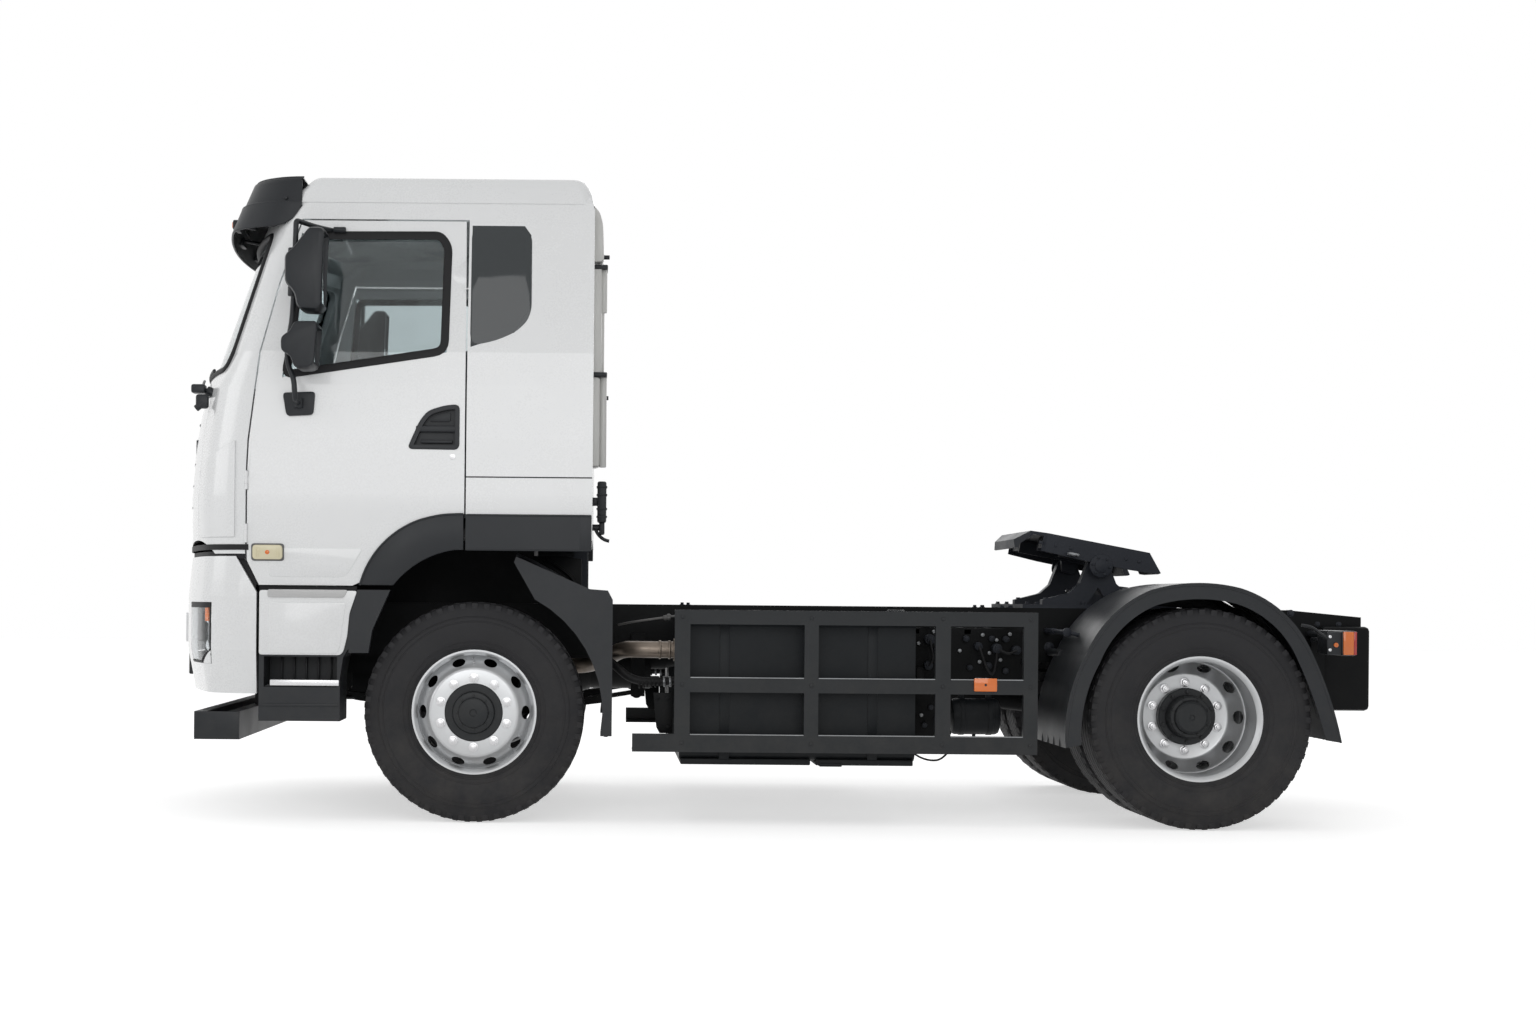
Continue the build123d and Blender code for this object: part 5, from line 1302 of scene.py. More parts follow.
both_sides(joined(tread), "step_tread", "frame black", "chassis")
edge_strip = bar((-976, -644), (STEP_SKIN - 6, STEP_SKIN + 10), (660, 689), 4)
both_sides(edge_strip, "step_edge_strip", "bright steel", "chassis")
ribs = [bar((x, x + 8), (-1062, -1040), (664, 796), 2) for x in (-950, -890, -830, -770, -710)]
lower_lip = bar((-1024, -648), (STEP_SKIN - 4, STEP_SKIN + 4), (560, 574), 3)
both_sides(joined(ribs + [lower_lip]), "step_ribs", "moulded black", "chassis")
print("steps finished")

# %% [markdown]
# ## Wheel arch trims
# The arch trim is one moulded band in lengths: on the door, on the cab's side behind it and on the step
# box. The door's length is drawn with true arcs and takes the place of its solid, the others keep theirs,
# and a thin bead along the upper edge gives the light line of a real moulding. It is split where the door
# opens.

# %% Beads along the arch trims
def arc_through(first, middle, last, count):
    """Points on the circle through three (x, z) points."""
    a, b, c = Vector(first), Vector(middle), Vector(last)
    ab, ac = b - a, c - a
    d = 2 * (ab.x * ac.y - ab.y * ac.x)
    centre = a + Vector((ac.y * ab.length_squared - ab.y * ac.length_squared,
        ab.x * ac.length_squared - ac.x * ab.length_squared)) / d
    radius = (a - centre).length
    start, end = (math.atan2(p.y - centre.y, p.x - centre.x) for p in (a, c))
    turns = [start + (end - start) * i / count for i in range(count + 1)]
    return [(centre.x + radius * math.cos(t), centre.y + radius * math.sin(t)) for t in turns]


DOOR_FOOT = 1146.0
TRIM_EDGE = ([(-549, DOOR_FOOT)] + arc_through((-547, 1152), (-407, 1375), (-258, 1462), 12)
    + [(-170, 1484), (-94, 1490), (-52, 1490)])
TRIM_ARC = [(-52, 1318), (-92, 1318)] + arc_through((-94, 1318), (-260, 1259), (-388, DOOR_FOOT), 8)
door_trim = side_pad(TRIM_EDGE + TRIM_ARC, 12, 6.5, 4)
both_sides(door_trim, "arch_trim_door", "moulded black", "left_door", node="door_trim")


def skin_tube(points, radius, out):
    """A tube on the left skin through (x, z) points."""
    return tube([(x, side_y(z) - out, z) for x, z in points], radius, sides=4)


both_sides(skin_tube(TRIM_EDGE, 5.5, 5), "arch_bead_door", "moulded black", "left_door")
for name, z, radius in (("arch_bead_cab", 1486, 5.5), ("arch_bead_low", 1320, 4.5)):
    both_sides(skin_tube([(x, z) for x in (-36, 200, 560)], radius, 4), name, "moulded black", "cab")
print("arch trims have their beads")

# %% [markdown]
# ## Seats and bunk
# A driver's seat is foam under cloth: a crowned cushion, a back with side bolsters and a head rest,
# standing on a suspension base. The bunk behind is one mattress. Foam is stiff, so each pad starts as a
# rounded block that is a little too small, is remeshed to even faces, and is blown up by a cloth
# simulation with a light inner pressure. What comes out is crowned in the middle and pulled in at the
# edges, as a sewn cover is. The seams' piping is laid on afterwards.

# %% Blow up a pad
def capped(piece, start, cap):
    """Keeps each point within cap metres of where it started."""
    for vertex, origin in zip(piece.data.vertices, start):
        move = vertex.co - origin
        if move.length > cap:
            vertex.co = origin + move * (cap / move.length)


def foam(piece, name, body, cap, pressure=4.0, frames=20, voxel=0.006):
    only(piece)
    remesh = piece.modifiers.new("even", "REMESH")
    remesh.mode = "VOXEL"
    remesh.voxel_size = voxel
    bpy.ops.object.modifier_apply(modifier=remesh.name)
    start = [vertex.co.copy() for vertex in piece.data.vertices]
    cloth = piece.modifiers.new("cover", "CLOTH")
    cloth.settings.use_pressure = True
    cloth.settings.uniform_pressure_force = pressure
    cloth.settings.effector_weights.gravity = 0
    cloth.settings.quality = 5
    cloth.collision_settings.use_collision = False
    scene = bpy.context.scene
    for number in range(1, frames + 1):
        scene.frame_set(number)
    bpy.ops.object.modifier_apply(modifier=cloth.name)
    capped(piece, start, cap)
    scene.frame_set(1)
    tidy_faces(piece)
    smooth = piece.modifiers.new("smooth", "SMOOTH")
    smooth.iterations = 4
    bpy.ops.object.modifier_apply(modifier=smooth.name)
    bpy.ops.object.shade_smooth()
    named(piece, name, "seat cloth", body)
    return piece


print("full render", "- pads are ready to be made")

# %% Two seats and the bunk
SEAT_Y = 620
BACK_SIDE = [(-222, 1712), (-120, 1712), (8, 2318), (-56, 2336), (-92, 2322)]
pads, piping = [], []
for side, seat_name in ((-1, "left"), (1, "right")):
    y = side * SEAT_Y
    cushion = bar((-590, -126), (y - 238, y + 238), (1652, 1722), 26)
    pads.append(foam(cushion, f"seat_cushion_{seat_name}", "cab", 0.022))
    back = plate(rounded(BACK_SIDE, 30), y - 226, y + 226, 26)
    pads.append(foam(back, f"seat_back_{seat_name}", "cab", 0.022))
    rest = bar((-62, 4), (y - 128, y + 128), (2326, 2466), 24)
    pads.append(foam(rest, f"seat_head_rest_{seat_name}", "cab", 0.014))
    for edge in (-1, 1):
        edge_y = y + edge * 246
        piping.append(tube([(-598, edge_y - edge * 10, 1690), (-580, edge_y, 1690), (-360, edge_y, 1690),
            (-130, edge_y, 1690)], 5, sides=3))
mattress = bar((166, 494), (-1120, 1120), (1636, 1744), 34)
pads.append(foam(mattress, "bunk_mattress", "cab", 0.016, voxel=0.012))
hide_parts("seats")
named(joined(piping), "seat_piping", "soft rubber", "cab")
print("pads:", len(pads), "faces:", sum(len(pad.data.polygons) for pad in pads))

# %% Seat bases, arms and head rest posts
bases = []
for side in (-1, 1):
    y = side * SEAT_Y
    bases.append(bar((-520, -180), (y - 134, y + 134), (1424, 1470), 8))
    bases.append(bar((-560, -150), (y - 200, y + 200), (1610, 1640), 10))
    for z in range(1480, 1600, 22):
        bases.append(bar((-505, -195), (y - 122, y + 122), (z, z + 14), 6))
    for edge in (-1, 1):
        arm_y = y + edge * 272
        bases.append(bar((-420, -120), (arm_y - 24, arm_y + 24), (1900, 1946), 18))
    bases += [rod((-60, y + dy, 2310), (-34, y + dy, 2352), 8, 16, 1) for dy in (-60, 60)]
bases.append(bar((190, 500), (-1100, 1100), (1606, 1634), 8))
bases.append(bar((190, 505), (-430, 430), (1500, 1610), 8))
named(joined(bases), "seat_bases", "moulded black", "cab")
print("seat bases in the cab")

# %% [markdown]
# ## Dashboard and wheel
# The frame gives the dashboard's body and the steering wheel's ring, hub and spokes. A hooded binnacle
# with plain dials, a row of air vents, a centre panel of blank switches and a padded boss make them read
# as what they are. The dials carry no print.

# %% Binnacle, vents and switches
DASH_REAR = -930
dash = [bar((DASH_REAR - 60, DASH_REAR + 34), (-860, -380), (1905, 1925), 9)]
for y in (-700, -540):
    dial = turned([(0, 1), (0, 62), (6, 70), (22, 70), (22, 78), (-2, 78), (-2, 1)], 0, 0, 40)
    dial.rotation_euler = (0, 0, math.radians(90))
    dial.location = at(DASH_REAR - 8, y, 1990) + Vector((0, -at(0, 0, 0).x, 0))
    settle(dial)
    dash.append(dial)
for y in (-1080, -160, 160, 600, 1080):
    dash.append(bar((DASH_REAR - 10, DASH_REAR + 8), (y - 90, y + 90), (1960, 2030), 10))
    for z in range(1970, 2028, 12):
        dash.append(bar((DASH_REAR - 4, DASH_REAR + 12), (y - 78, y + 78), (z, z + 4), 1))
for y in range(-240, 241, 60):
    for z in (1740, 1800, 1860):
        dash.append(bar((DASH_REAR - 4, DASH_REAR + 7), (y - 22, y + 22), (z, z + 36), 5))
named(joined(dash), "dashboard_fittings", "moulded black", "cab")
WHEEL_CENTRE, WHEEL_TILT = Vector((-780, -620, 1985)), math.radians(32)
column = Vector((math.sin(WHEEL_TILT), 0, math.cos(WHEEL_TILT)))
boss = rod(WHEEL_CENTRE - column * 18, WHEEL_CENTRE + column * 26, 74, 48, 14)
stalks = [rod(WHEEL_CENTRE - column * 60, WHEEL_CENTRE - column * 45 + Vector((0, side * 190, 0)), 8, 16, 2)
    for side in (-1, 1)]
named(joined([boss] + stalks), "steering_boss", "moulded black", "cab")
print("dashboard fitted")

# %% [markdown]
# ## Air duct and latch on the back wall
# Engine air is drawn in high up behind the cab and led down a duct on its back wall. A duct of this kind
# is a blown moulding held by clamps; here it is a bar with round edges in two lengths, with a cap on top
# and clamps round both. Below it a ribbed boot covers the cab's latch. All of it is fixed to the cab and
# tilts with it.

# %% Duct, clamps and boot
DUCT_Y = (-790, -640)
DUCT_MIDDLE = -715
cap_line = [(540, 3064), (556, 3062), (588, 3030), (606, 2968), (612, 2780), (540, 2780)]
cap = plate(rounded(cap_line, 24), DUCT_Y[0] - 12, DUCT_Y[1] + 12, 12)
upper_duct = bar((540, 604), DUCT_Y, (2215, 2760), 16)
DUCT_PIPE_Y = -740
side_pipe = rod((612, DUCT_PIPE_Y, 2530), (612, DUCT_PIPE_Y, 2750), 17, 28, 4)
thin_pipe = rod((606, DUCT_PIPE_Y, 2200), (606, DUCT_PIPE_Y, 2532), 10, 20, 2)
lower_duct = bar((540, 598), DUCT_Y, (1752, 2205), 16)
lower_pipe = rod((613, DUCT_PIPE_Y, 1752), (613, DUCT_PIPE_Y, 2205), 18, 28, 4)
duct = joined([cap, upper_duct, side_pipe, thin_pipe, lower_duct, lower_pipe])
named(duct, "air_duct", "bare plate", "cab")
straps = [bar((534, 632), (DUCT_Y[0] - 5, DUCT_Y[1] + 5), (z, z + 22), 5) for z in (2744, 2205)]
straps += [rod((600, DUCT_MIDDLE, z), (640, DUCT_MIDDLE, z), 11, 20, 3) for z in (2815, 2104)]
named(joined(straps), "air_duct_clamps", "moulded black", "cab")
boot = [bar((588, 634), (-770, -660), (1474, 1681), 10), bar((598, 626), (-745, -690), (1413, 1480), 8),
    tube([(580, DUCT_MIDDLE, 1440), (604, DUCT_MIDDLE, 1388), (650, DUCT_MIDDLE, 1382)], 9, sides=3),
    bar((556, 600), (-750, -680), (1560, 1600), 6),
    rod((556, DUCT_MIDDLE, 1450), (612, DUCT_MIDDLE, 1450), 16, 20, 3)]
boot += [bar((584, 638), (-774, -656), (z, z + 7), 2) for z in (1500, 1540, 1610, 1650)]
named(joined(boot), "cab_latch", "moulded black", "cab")
rear_rail = [bar((545, 560), (-1000, 1000), (z, z + 26), 6) for z in (1700, 2560)]
named(joined(rear_rail), "back_wall_ribs", "cab white", "cab")
trim_end = side_pad([(504, 1318), (562, 1318), (562, 1490), (504, 1490)], 10, 6.2, 2)
both_sides(trim_end, "arch_trim_end", "moulded black", "cab")
print("duct and latch on the back wall")

# %% [markdown]
# ## Exhaust, pipes and brackets between cab and tanks
# The exhaust crosses from the engine to the muffler behind the side guard. Its last straight is what
# shows, so the pipe is drawn again as one bent tube with bands at its joint. A flexible coolant hose in
# its clamps runs below it and a thin steel line above it.

# %% Exhaust with its bands, line and hose
PIPE_Y, PIPE_Z = -800, 838
exhaust_line = [(260, -285, 735), (420, -285, 735), (560, -330, 745), (650, -560, 790), (720, -760, 838),
    (800, PIPE_Y, PIPE_Z), (900, PIPE_Y, PIPE_Z), (996, PIPE_Y, PIPE_Z)]
exhaust = tube(exhaust_line, 42, sides=8, resolution=12)
bands = [rod((x, PIPE_Y, PIPE_Z), (x + 13, PIPE_Y, PIPE_Z), 47, 40, 3) for x in (902, 950)]
bands.append(rod((975, PIPE_Y, PIPE_Z), (996, PIPE_Y, PIPE_Z), 56, 40, 4))
exhaust_piece = joined([exhaust] + bands)
named(exhaust_piece, "exhaust_pipe", "scaled steel", "chassis")
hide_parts("exhaust")
line_pipe = tube([(700, -740, 960), (760, -790, 974), (880, PIPE_Y, 992), (960, PIPE_Y, 1004),
    (1000, PIPE_Y, 1010)], 6, sides=3)
fitting = rod((925, PIPE_Y, 997), (962, PIPE_Y, 1003), 13, 20, 3)
nut = rod((945, PIPE_Y, 1001), (958, PIPE_Y, 1003), 17, 6, 1)
both_sides(joined([line_pipe, fitting, nut]), "steel_line", "raw casting", "chassis")
hose = tube([(640, -700, 790), (690, -780, 750), (760, PIPE_Y, 690), (860, PIPE_Y, 674), (985, PIPE_Y, 684)],
    21, sides=5)
rings = [rod((x, PIPE_Y, 672 + (x - 860) * 0.08), (x + 9, PIPE_Y, 673 + (x - 860) * 0.08), 25, 24, 2)
    for x in range(800, 920, 20)]
both_sides(joined([hose] + rings), "coolant_hose", "soft rubber", "chassis")
clips = [rod((x, PIPE_Y, 678), (x + 12, PIPE_Y, 679), 27, 28, 2) for x in (925, 955)]
both_sides(joined(clips), "hose_clips", "worn steel and painted highlight", "chassis")
leg = plate([(868, 636), (962, 636), (962, 440), (900, 440), (884, 470)], -1130, -1118, 3)
foot = bar((766, 962), (-1196, -1118), (360, 372), 3)
bolts = [rod((x, -1130, z), (x, -1139, z), 9, 6, 1) for x, z in ((890, 610), (940, 610), (940, 470))]
both_sides(joined([leg, foot] + bolts), "guard_stay", "shaded chassis black", "chassis")
print("exhaust and pipes in place")

# %% [markdown]
# ## Tanks and side guards
# A tank sits in straps above a sump rail. Straps are thin bars round the tank's outside; the cap has a
# ribbed grip. The guard keeps its frame solid, and gets a painted highlight, a bright line where its rails
# catch the light, bolts in its posts and an amber side reflector.

# %% Tank straps, sumps and caps
straps = [bar((x - 24, x + 24), (-1114, -1108), (316, 1012), 2) for x in (1215, 1935)]
straps += [bar((x - 24, x + 24), (-1112, -478), (1016, 1024), 2) for x in (1215, 1935)]
sumps = [bar((1004, 1636), (-1100, -560), (288, 318), 5), bar((1662, 2136), (-1100, -560), (288, 318), 5)]
sumps.append(bar((1680, 1790), (-1104, -700), (282, 300), 4))
lid = [rod((2060, -1000, 1016), (2060, -1000, 1048), 44, 40, 6)]
for index in range(16):
    turn = index * math.tau / 16
    x, y = 2060 + 44 * math.cos(turn), -1000 + 44 * math.sin(turn)
    lid.append(rod((x, y, 1024), (x, y, 1044), 4, 8, 0))
both_sides(joined(straps + sumps + lid), "tank_fittings", "tank black", "chassis")
print("tanks strapped down")

# %% Guard edges, bolts and reflector
GUARD_FACE = -1232.0
bays = ((1042, 1591), (1659, 2221), (2294, 2645))
# Thin bright bars along the guard rails where they catch the light: painted highlight.
edges = [bar((x0 + 2, x1 - 2), (GUARD_FACE - 1.2, GUARD_FACE + 7), (z - 3, z + 1.2), 0)
    for x0, x1 in bays for z in (717, 443)]
both_sides(joined(edges), "guard_painted_highlight_lines", "worn steel and painted highlight", "chassis")
posts = []
for x in (1004, 1625, 2257, 2679):
    for z in (1006, 681, 400):
        posts.append(rod((x, GUARD_FACE, z), (x, GUARD_FACE - 5, z), 9, 20, 2))
both_sides(joined(posts), "guard_screws", "frame black", "chassis")
reflector = bar((2405, 2516), (GUARD_FACE - 13, GUARD_FACE), (660, 724), 5)
both_sides(reflector, "side_reflector", "amber lens", "chassis")
screw = rod((2460, GUARD_FACE - 15, 692), (2460, GUARD_FACE - 9, 692), 6, 20, 1)
both_sides(screw, "side_reflector_screw", "frame black", "chassis")
print("guards dressed")

# %% [markdown]
# ## Brake and air fittings on the frame
# Between the tank and the rear wheels the frame carries its brake valves: a plate on arms with valve
# bodies, nuts and hoses, and a reservoir below it. Each valve is a small cylinder with a nut, and each
# hose is a bent tube between two of them, fixed at both ends.

# %% Valve plate with its valves
PLATE_Y = -742.0
LOWER_PLATE_Y = -765
valve_plate = plate(rounded([(2150, 960), (2790, 960), (2790, 700), (2690, 690), (2150, 690)], 20), PLATE_Y,
    PLATE_Y + 7, 2)
arms = [bar((x, x + 40), (PLATE_Y, -430), (925, 955), 4) for x in (2180, 2440, 2730)]
lower_plate = plate(rounded([(2150, 700), (2350, 700), (2350, 410), (2150, 410)], 16), LOWER_PLATE_Y,
    LOWER_PLATE_Y + 7, 2)
drop = bar((2200, 2240), (LOWER_PLATE_Y, -735), (640, 760), 3)
both_sides(joined([valve_plate, lower_plate, drop] + arms), "valve_plate", "shaded chassis black", "chassis")
valves = []
for x, z, r, length in ((2262, 900, 26, 60), (2300, 848, 17, 42), (2258, 770, 22, 52), (2450, 905, 16, 30),
    (2510, 868, 20, 46), (2580, 906, 15, 30), (2600, 858, 24, 64), (2650, 905, 16, 34),
    (2700, 850, 22, 50), (2745, 790, 15, 30), (2560, 770, 18, 44), (2470, 760, 14, 28),
    (2650, 745, 15, 30)):
    valves.append(rod((x, PLATE_Y, z), (x, PLATE_Y - length, z), r, 28, 4))
    valves.append(rod((x, PLATE_Y - length, z), (x, PLATE_Y - length - 10, z), r * 0.62, 6, 1.5))
for x, z in ((2272, 560), (2300, 500), (2240, 470), (2310, 620), (2250, 640)):
    valves.append(rod((x, LOWER_PLATE_Y, z), (x, LOWER_PLATE_Y - 25, z), 13, 20, 3))
both_sides(joined(valves), "brake_valves", "cast iron", "chassis")
nuts = []
for x, z in ((2288, 940), (2212, 880), (2316, 800), (2232, 715), (2420, 845), (2535, 925), (2570, 835),
    (2625, 800), (2672, 930), (2760, 925), (2770, 850), (2520, 790), (2605, 900), (2300, 590), (2226, 520),
    (2330, 450)):
    depth = PLATE_Y if z > 700 else LOWER_PLATE_Y
    nuts.append(rod((x, depth, z), (x, depth - 12, z), 10, 6, 1))
both_sides(joined(nuts), "fitting_nuts", "worn steel and painted highlight", "chassis")
lines = [[(2262, -806, 900), (2262, -826, 870), (2280, -822, 800), (2258, -800, 770)],
    [(2510, -792, 868), (2520, -822, 820), (2550, -820, 740), (2590, -800, 720), (2600, -800, 858)],
    [(2600, -808, 858), (2640, -826, 830), (2680, -812, 840), (2700, -794, 850)],
    [(2300, -786, 848), (2330, -806, 790), (2320, -800, 700), (2300, -790, 620)]]
hoses = joined([tube(points, 6.5, sides=3) for points in lines])
both_sides(hoses, "brake_lines", "soft rubber", "chassis")
print("valves on their plate")

# %% Lower reservoir
CANISTER_Y, CANISTER_Z = -660, 510
canister = rod((2388, CANISTER_Y, CANISTER_Z), (2634, CANISTER_Y, CANISTER_Z), 92, 48, 22)
canister_bands = [rod((x, CANISTER_Y, CANISTER_Z), (x + 26, CANISTER_Y, CANISTER_Z), 95, 48, 2)
    for x in (2430, 2570)]
hangers = [bar((x, x + 26), (-672, -648), (596, 960), 2) for x in (2430, 2570)]
hangers += [bar((x, x + 26), (-672, -424), (940, 960), 2) for x in (2430, 2570)]
drain = rod((2510, CANISTER_Y, 424), (2510, CANISTER_Y, 402), 9, 20, 2)
both_sides(joined([canister, drain] + canister_bands + hangers), "air_canister", "tank black", "chassis")
loop = tube([(x, -900, z) for x, z in ((2160, 345), (2186, 322), (2250, 300), (2311, 306), (2345, 350))], 5,
    sides=3)
stub = rod((2345, -900, 350), (2345, -900, 440), 7, 16, 2)
arm = bar((2335, 2355), (-905, -750), (432, 452), 3)
both_sides(joined([loop, stub, arm]), "tank_drain_line", "soft rubber", "chassis")
print("reservoir hung below the frame")

# %% [markdown]
# ## Frame bolts
# Crossmembers, spring hangers and the coupling's mounting plate are bolted to the rails. One bolt is a
# hexagon with a washer; the rows are written as places on the web and on the top flange.

# %% Bolts on rails and mounting plate
WEB_Y = -430.0


def bolt_out(x, z, size=11.0):
    """A bolt head with its washer on the left rail's web."""
    return joined([rod((x, WEB_Y, z), (x, WEB_Y - 3, z), size * 1.35, 20, 0.6),
        rod((x, WEB_Y - 3, z), (x, WEB_Y - 12, z), size, 6, 1)])


def bolt_up(x, y, z, size=11.0):
    """A bolt head standing on a level face."""
    return joined([rod((x, y, z), (x, y, z + 3), size * 1.35, 20, 0.6),
        rod((x, y, z + 3), (x, y, z + 13), size, 6, 1)])


web = [bolt_out(x, z) for x in (1110, 2110, 2670, 3560, 4140) for z in (830, 925, 1015)]
web += [bolt_out(x, z) for x in (2770, 2850, 4020, 4330, 4440) for z in (860, 990)]
web += [bolt_out(2939, 861, size=19), bolt_out(4191, 1046, size=14)]
both_sides(joined(web), "rail_bolts", "cast iron", "chassis")
top = [bolt_up(x, -402, 1082) for x in (2830, 2880, 3120, 3280, 3520, 3570)]
top += [bolt_up(1065, -395, 1062, 10), bolt_up(2742, -395, 1062, 12), bolt_up(2700, -395, 1062, 10),
    bolt_up(4192, -395, 1050, 12)]
top += [bolt_up(x, -360 + dy, 1106, 9) for x in (2935, 3470) for dy in (-16, 16)]
both_sides(joined(top), "mounting_bolts", "cast iron", "chassis")
print("bolts on the frame")

# %% [markdown]
# ## Coupling plate
# The plate keeps its frame solid. What a cast plate also has is added: webs on its underside ribs, a
# release handle that sticks out at the side, bolted pin caps, and grease grooves on top, some straight and
# two as arcs about the pin's hole. These ride with the plate when it rocks.

# %% Plate details in the plate's own tilt
PIVOT = Vector((3200, 0, 1283))
TILT = math.radians(10.5)


def on_plate(x, y, z):
    """A point given level about the pivot, turned into the plate's rest tilt, in millimetres."""
    return (PIVOT.x + x * math.cos(TILT) + z * math.sin(TILT), y,
        PIVOT.z - x * math.sin(TILT) + z * math.cos(TILT))


GROOVE_Z = 115.2
groove_lines = [[(x, y) for x in (-300, -150, 0, 150)] for y in (-330, -250, 250, 330)]
groove_lines += [[(radius * math.cos(t), radius * math.sin(t)) for t in map(math.radians, range(50, 311, 10))]
    for radius in (120, 190)]
grooves = [tube([on_plate(x, y, GROOVE_Z) for x, y in line], 3.2, smooth=False, sides=3)
    for line in groove_lines]
named(joined(grooves), "plate_grease_grooves", "soft rubber", "coupling_plate")
caps = []
for side in (-1, 1):
    caps += [rod(on_plate(0, side * start, 0), on_plate(0, side * end, 0), radius, sides, edge)
        for start, end, radius, sides, edge in ((450, 459, 60, 48, 5), (459, 465, 34, 40, 3))]
    for index in range(6):
        turn = index * math.tau / 6
        x, z = 46 * math.cos(turn), 46 * math.sin(turn)
        caps.append(rod(on_plate(x, side * 456, z), on_plate(x, side * 466, z), 7, 6, 1))
    for x in (-330, -250, -170, 120, 190):
        caps.append(rod(on_plate(x, side * 449, 60), on_plate(x, side * 455, 60), 9, 20, 2))
named(joined(caps), "plate_pin_caps", "cast iron", "coupling_plate")
handle_bar = tube([on_plate(-120, -200, 40), on_plate(-150, -420, 36), on_plate(-160, -470, 30)], 9, sides=4)
eye = tube([on_plate(-160 + 26 * math.cos(t), -492 - 26 * math.sin(t), 28) for t in
    (math.radians(a) for a in range(-90, 241, 30))], 8, sides=3)
named(joined([handle_bar, eye]), "plate_release_handle", "worn steel and painted highlight", "coupling_plate")
webs = []
for side in (-1, 1):
    for x in (-300, -210, 180):
        y0, y1 = sorted((side * 260, side * 434))
        low, high = on_plate(x, 0, 40), on_plate(x, 0, 96)
        web_line = [(low[0], low[2]), (low[0] + 12, low[2]), (high[0] + 12, high[2]), (high[0], high[2])]
        webs.append(plate(web_line, y0, y1, 1))
named(joined(webs), "plate_webs", "cast iron", "coupling_plate")
print("coupling plate dressed")

# %% [markdown]
# ## Rear wings and tail
# The wing's sheet gets three raised ribs over its crown, a rolled outer edge and an inner apron that
# closes the view over the tyre. At the tail a lamp with an amber side and a red rear face stands on a
# black bracket, with a round reflector beside it.

# %% Wing ribs, rolled edge and apron
WING_LINE = [(-656, 393), (-643, 624), (-564, 840), (-421, 1048), (-254, 1155), (-63, 1190), (177, 1168),
    (370, 1064), (516, 874), (614, 634), (669, 429)]
APRON_R = 548


def wing_point(x, y, z, out=0.0):
    """A point of the wing's outer line, moved out from the wheel by a few millimetres."""
    way = Vector((x, z - HUB_MM)).normalized() * out
    return (REAR_X + x + way.x, y, z + way.y)


ribs = [tube([wing_point(x, y, z, 1) for x, z in WING_LINE], 5, sides=3, resolution=6)
    for y in (-1130, -1000, -870, -740)]
both_sides(joined(ribs), "wing_ribs", "moulded black", "chassis")
rolled = tube([wing_point(x, -1253, z, -5) for x, z in WING_LINE], 5, sides=4, resolution=6)
both_sides(rolled, "wing_rolled_edge", "moulded black", "chassis")
apron_top = [wing_point(x, 0, z, -4) for x, z in WING_LINE[1:-1]]
apron_low = []
for x, z in WING_LINE[1:-1]:
    way = Vector((x, z - HUB_MM)).normalized() * APRON_R
    apron_low.append((REAR_X + way.x, HUB_MM + way.y))
apron = plate([(x, z) for x, _, z in apron_top] + apron_low[::-1], -609, -603, 0.8)
both_sides(apron, "wing_apron", "moulded black", "chassis")
strut = joined([rod((2925, -620, 944), (2925, -905, 944), 13, 24, 4),
    rod((2925, -900, 944), (3062, -900, 915), 10, 20, 3),
    rod((2925, -888, 944), (2925, -914, 944), 22, 24, 5),
    rod((2925, -430, 944), (2925, -640, 944), 16, 24, 3)])
both_sides(strut, "wing_strut", "cast iron", "chassis")
print("rear wings finished")

# %% Tail lamps, reflector and rear box
LAMP_X = (4255, 4325)
case = bar(LAMP_X, (-996, -640), (841, 964), 8)
bracket = bar((4186, LAMP_X[0] + 4), (-990, -983), (845, 958), 4)
lamp_arm = [rod((4290, -660, 938), (4290, -430, 938), 20, 24, 2),
    bar((4255, 4300), (-640, -540), (900, 925), 4)]
strap_line = tube([(4060, -985, 990), (4110, -985, 985), (4150, -985, 950), (4192, -985, 925)], 8, sides=3)
lamp_body = joined([case, bracket, strap_line] + lamp_arm)
for piece in both_sides(lamp_body, "tail_lamp_case", "moulded black", "chassis"):
    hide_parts("tail_lamps")
side_lens = bar((4262, 4314), (-1003, -985), (845, 960), 4)
both_sides(side_lens, "tail_lamp_side_lens", "amber lens", "chassis")
red_lens = [bar((4314, 4329), (-1002, -840), (845, 960), 4), bar((4318, 4330), (-770, -650), (848, 957), 4)]
both_sides(joined(red_lens), "tail_lamp_red_lens", "red lens", "chassis")
white_lens = bar((4318, 4330), (-836, -774), (848, 957), 4)
both_sides(white_lens, "tail_lamp_white_lens", "cream lens", "chassis")
reflector = turned([(-992, 1), (-992, 12), (-996, 11), (-997, 1)], 4229, 894, 32)
both_sides(reflector, "tail_reflector", "amber lens", "chassis")
pins = [rod((4198, -990, z), (4198, -999, z), 8, 20, 2) for z in (870, 935)]
both_sides(joined(pins), "tail_lamp_screws", "bright steel", "chassis")
cheeks = [bar((4330, 4582), (-502, -436), (546, 980), 24), bar((4340, 4572), (-440, -340), (556, 760), 8)]
both_sides(joined(cheeks), "rear_box_cheeks", "shaded chassis black", "chassis")
rear_plate = bar((4588, 4597), (-260, 260), (640, 760), 4)
named(rear_plate, "rear_blank_plate", "bare plate", "chassis")
print("tail finished")

# %% [markdown]
# ## Front wing stays and underrun bar
# Behind the front wheel the wing is held by a strut from its upper edge and a hook at its foot. The open
# ends of the underrun bar are closed by plates.

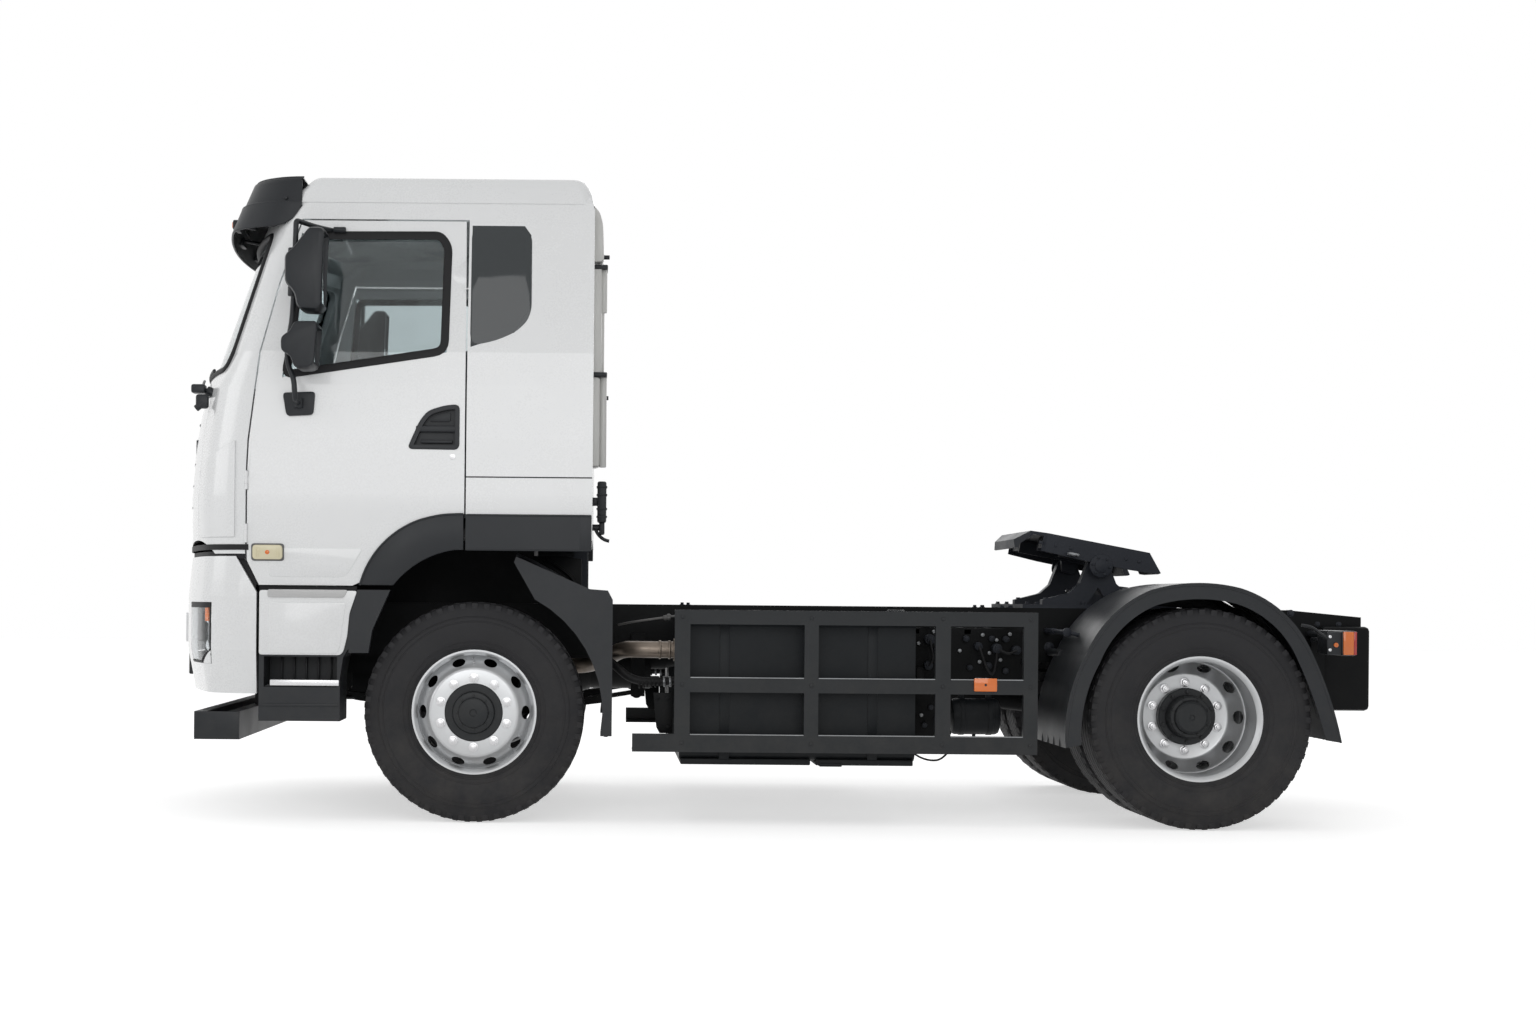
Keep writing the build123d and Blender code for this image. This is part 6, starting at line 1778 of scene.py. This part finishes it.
# %% Stays, hook and end caps
stay = tube([(199, -1030, 1302), (330, -1120, 1250), (495, -1150, 1141)], 8, sides=3)
stay_foot = bar((480, 520), (-1170, -1130), (1120, 1150), 5)
hook = tube([(641, -1190, 470), (655, -1195, 440), (641, -1195, 424), (622, -1190, 436)], 6, sides=3)
both_sides(joined([stay, stay_foot, hook]), "front_wing_stay", "frame black", "chassis")
shroud = [plate([(262, 1064), (512, 1064), (512, 1290), (430, 1304), (262, 1304)], -702, -696, 2),
    bar((300, 470), (-700, -430), (1064, 1090), 4),
    tube([(290, -715, 1280), (360, -725, 1190), (450, -715, 1120), (500, -700, 1070)], 14, sides=4),
    tube([(330, -712, 1290), (410, -722, 1240), (480, -712, 1180), (505, -700, 1090)], 9, sides=3)]
both_sides(joined(shroud), "cab_rear_shroud", "shaded chassis black", "chassis")
end_cap = plate(rounded([(-1351, 395), (-1132, 395), (-1132, 530), (-1351, 530)], 12), -1174, -1168, 2)
both_sides(end_cap, "underrun_end_cap", "moulded black", "chassis")
print("front end closed")

# %% [markdown]
# ## Floor, light and camera
# The vehicle stands in a pale studio. The floor is one white sheet that is lit fully for the camera and
# for reflections, and that still takes the vehicle's shadow; behind it the sky is white for the camera.
# Big soft lamps from the left, the right and above show the shapes without hard edges.

# %% Studio floor and backdrop
stage_paper = bpy.data.materials.new("studio paper")
stage_paper.use_nodes = True
paper = stage_paper.node_tree
paper_shader = paper.nodes["Principled BSDF"]
paper_shader.inputs["Base Color"].default_value = (0.86, 0.86, 0.86, 1)
paper_shader.inputs["Roughness"].default_value = 0.9
paper_shader.inputs["Emission Color"].default_value = (1, 1, 1, 1)
paper_path = paper.nodes.new("ShaderNodeLightPath")
PAPER_GLOW = 0.55


def either_ray(tree, light_path):
    """One where the camera, a mirror or a glass looks at it, and zero for light that bounces off it."""
    camera_ray, mirror_ray, glass_ray = (light_path.outputs[f"Is {kind} Ray"]
        for kind in ("Camera", "Glossy", "Transmission"))
    return math_node(tree, "MAXIMUM", math_node(tree, "MAXIMUM", camera_ray, mirror_ray), glass_ray)


glow = math_node(paper, "MULTIPLY", either_ray(paper, paper_path), PAPER_GLOW)
paper.links.new(glow, paper_shader.inputs["Emission Strength"])
bpy.ops.object.select_all(action="DESELECT")
bpy.ops.mesh.primitive_plane_add(size=80, location=(0, 0, 0))
floor = bpy.context.object
floor.name = "studio_floor"
floor.data.materials.append(stage_paper)

world = bpy.data.worlds.new("studio light")
world.use_nodes = True
bpy.context.scene.world = world
sky = world.node_tree
background = sky.nodes["Background"]
path = sky.nodes.new("ShaderNodeLightPath")
AMBIENT = 0.50
sky.links.new(range_node(sky, either_ray(sky, path), 0.0, 1.0, AMBIENT, 1.0), background.inputs["Strength"])
background.inputs["Color"].default_value = (1, 1, 1, 1)
print("floor and sky are in")


# %% Lamps
def area_lamp(name, location, target, size, power):
    """A rectangular lamp of the given watts that looks at a target in metres."""
    bpy.ops.object.light_add(type="AREA", location=location)
    lamp = bpy.context.object
    lamp.name = name
    lamp.data.shape = "RECTANGLE"
    lamp.data.size, lamp.data.size_y = size
    lamp.data.energy = power
    lamp.rotation_euler = (Vector(target) - Vector(location)).to_track_quat("-Z", "Y").to_euler()


area_lamp("lamp_left", (-1.0, -10.0, 3.6), (0, 0, 1.4), (9, 4), 215)
area_lamp("lamp_top", (0, 0, 9.0), (0, 0, 0), (10, 6), 20)
area_lamp("lamp_front", (-10.0, -3.0, 4.0), (0, 0, 1.2), (5, 4), 110)
area_lamp("lamp_right", (2.0, 9.0, 5.0), (0, 0, 1.2), (8, 4), 150)
print("four lamps")

# %% [markdown]
# ## The camera
# The camera stands eleven metres to the left of the vehicle, a little ahead of its middle, at about the
# height of a person's chest, and looks straight across. The lens shift frames the vehicle without tilting
# the camera, so upright lines stay upright.

# %% Camera
CAMERA_PLACE = at(606, -11200, 1084)
FOCAL_PX = 2075.0
IMAGE_PX = (1536.0, 1024.0)
PRINCIPAL_PX = (600.0, 600.0)
ROLL_DEG = 0.5
camera_data = bpy.data.cameras.new("camera")
camera_data.sensor_width = 36.0
camera_data.lens = FOCAL_PX / IMAGE_PX[0] * camera_data.sensor_width
camera_data.shift_x = (IMAGE_PX[0] / 2 - PRINCIPAL_PX[0]) / IMAGE_PX[0]
camera_data.shift_y = (PRINCIPAL_PX[1] - IMAGE_PX[1] / 2) / IMAGE_PX[0]
camera_data.clip_end = 200
camera = bpy.data.objects.new("camera", camera_data)
bpy.context.scene.collection.objects.link(camera)
camera.location = CAMERA_PLACE
camera.rotation_euler = (math.radians(90), math.radians(-ROLL_DEG), 0)
bpy.context.scene.camera = camera
bpy.context.scene.view_settings.view_transform = "Standard"
print("lens", round(camera_data.lens, 1), "mm, shift", round(camera_data.shift_x, 4),
    round(camera_data.shift_y, 4))
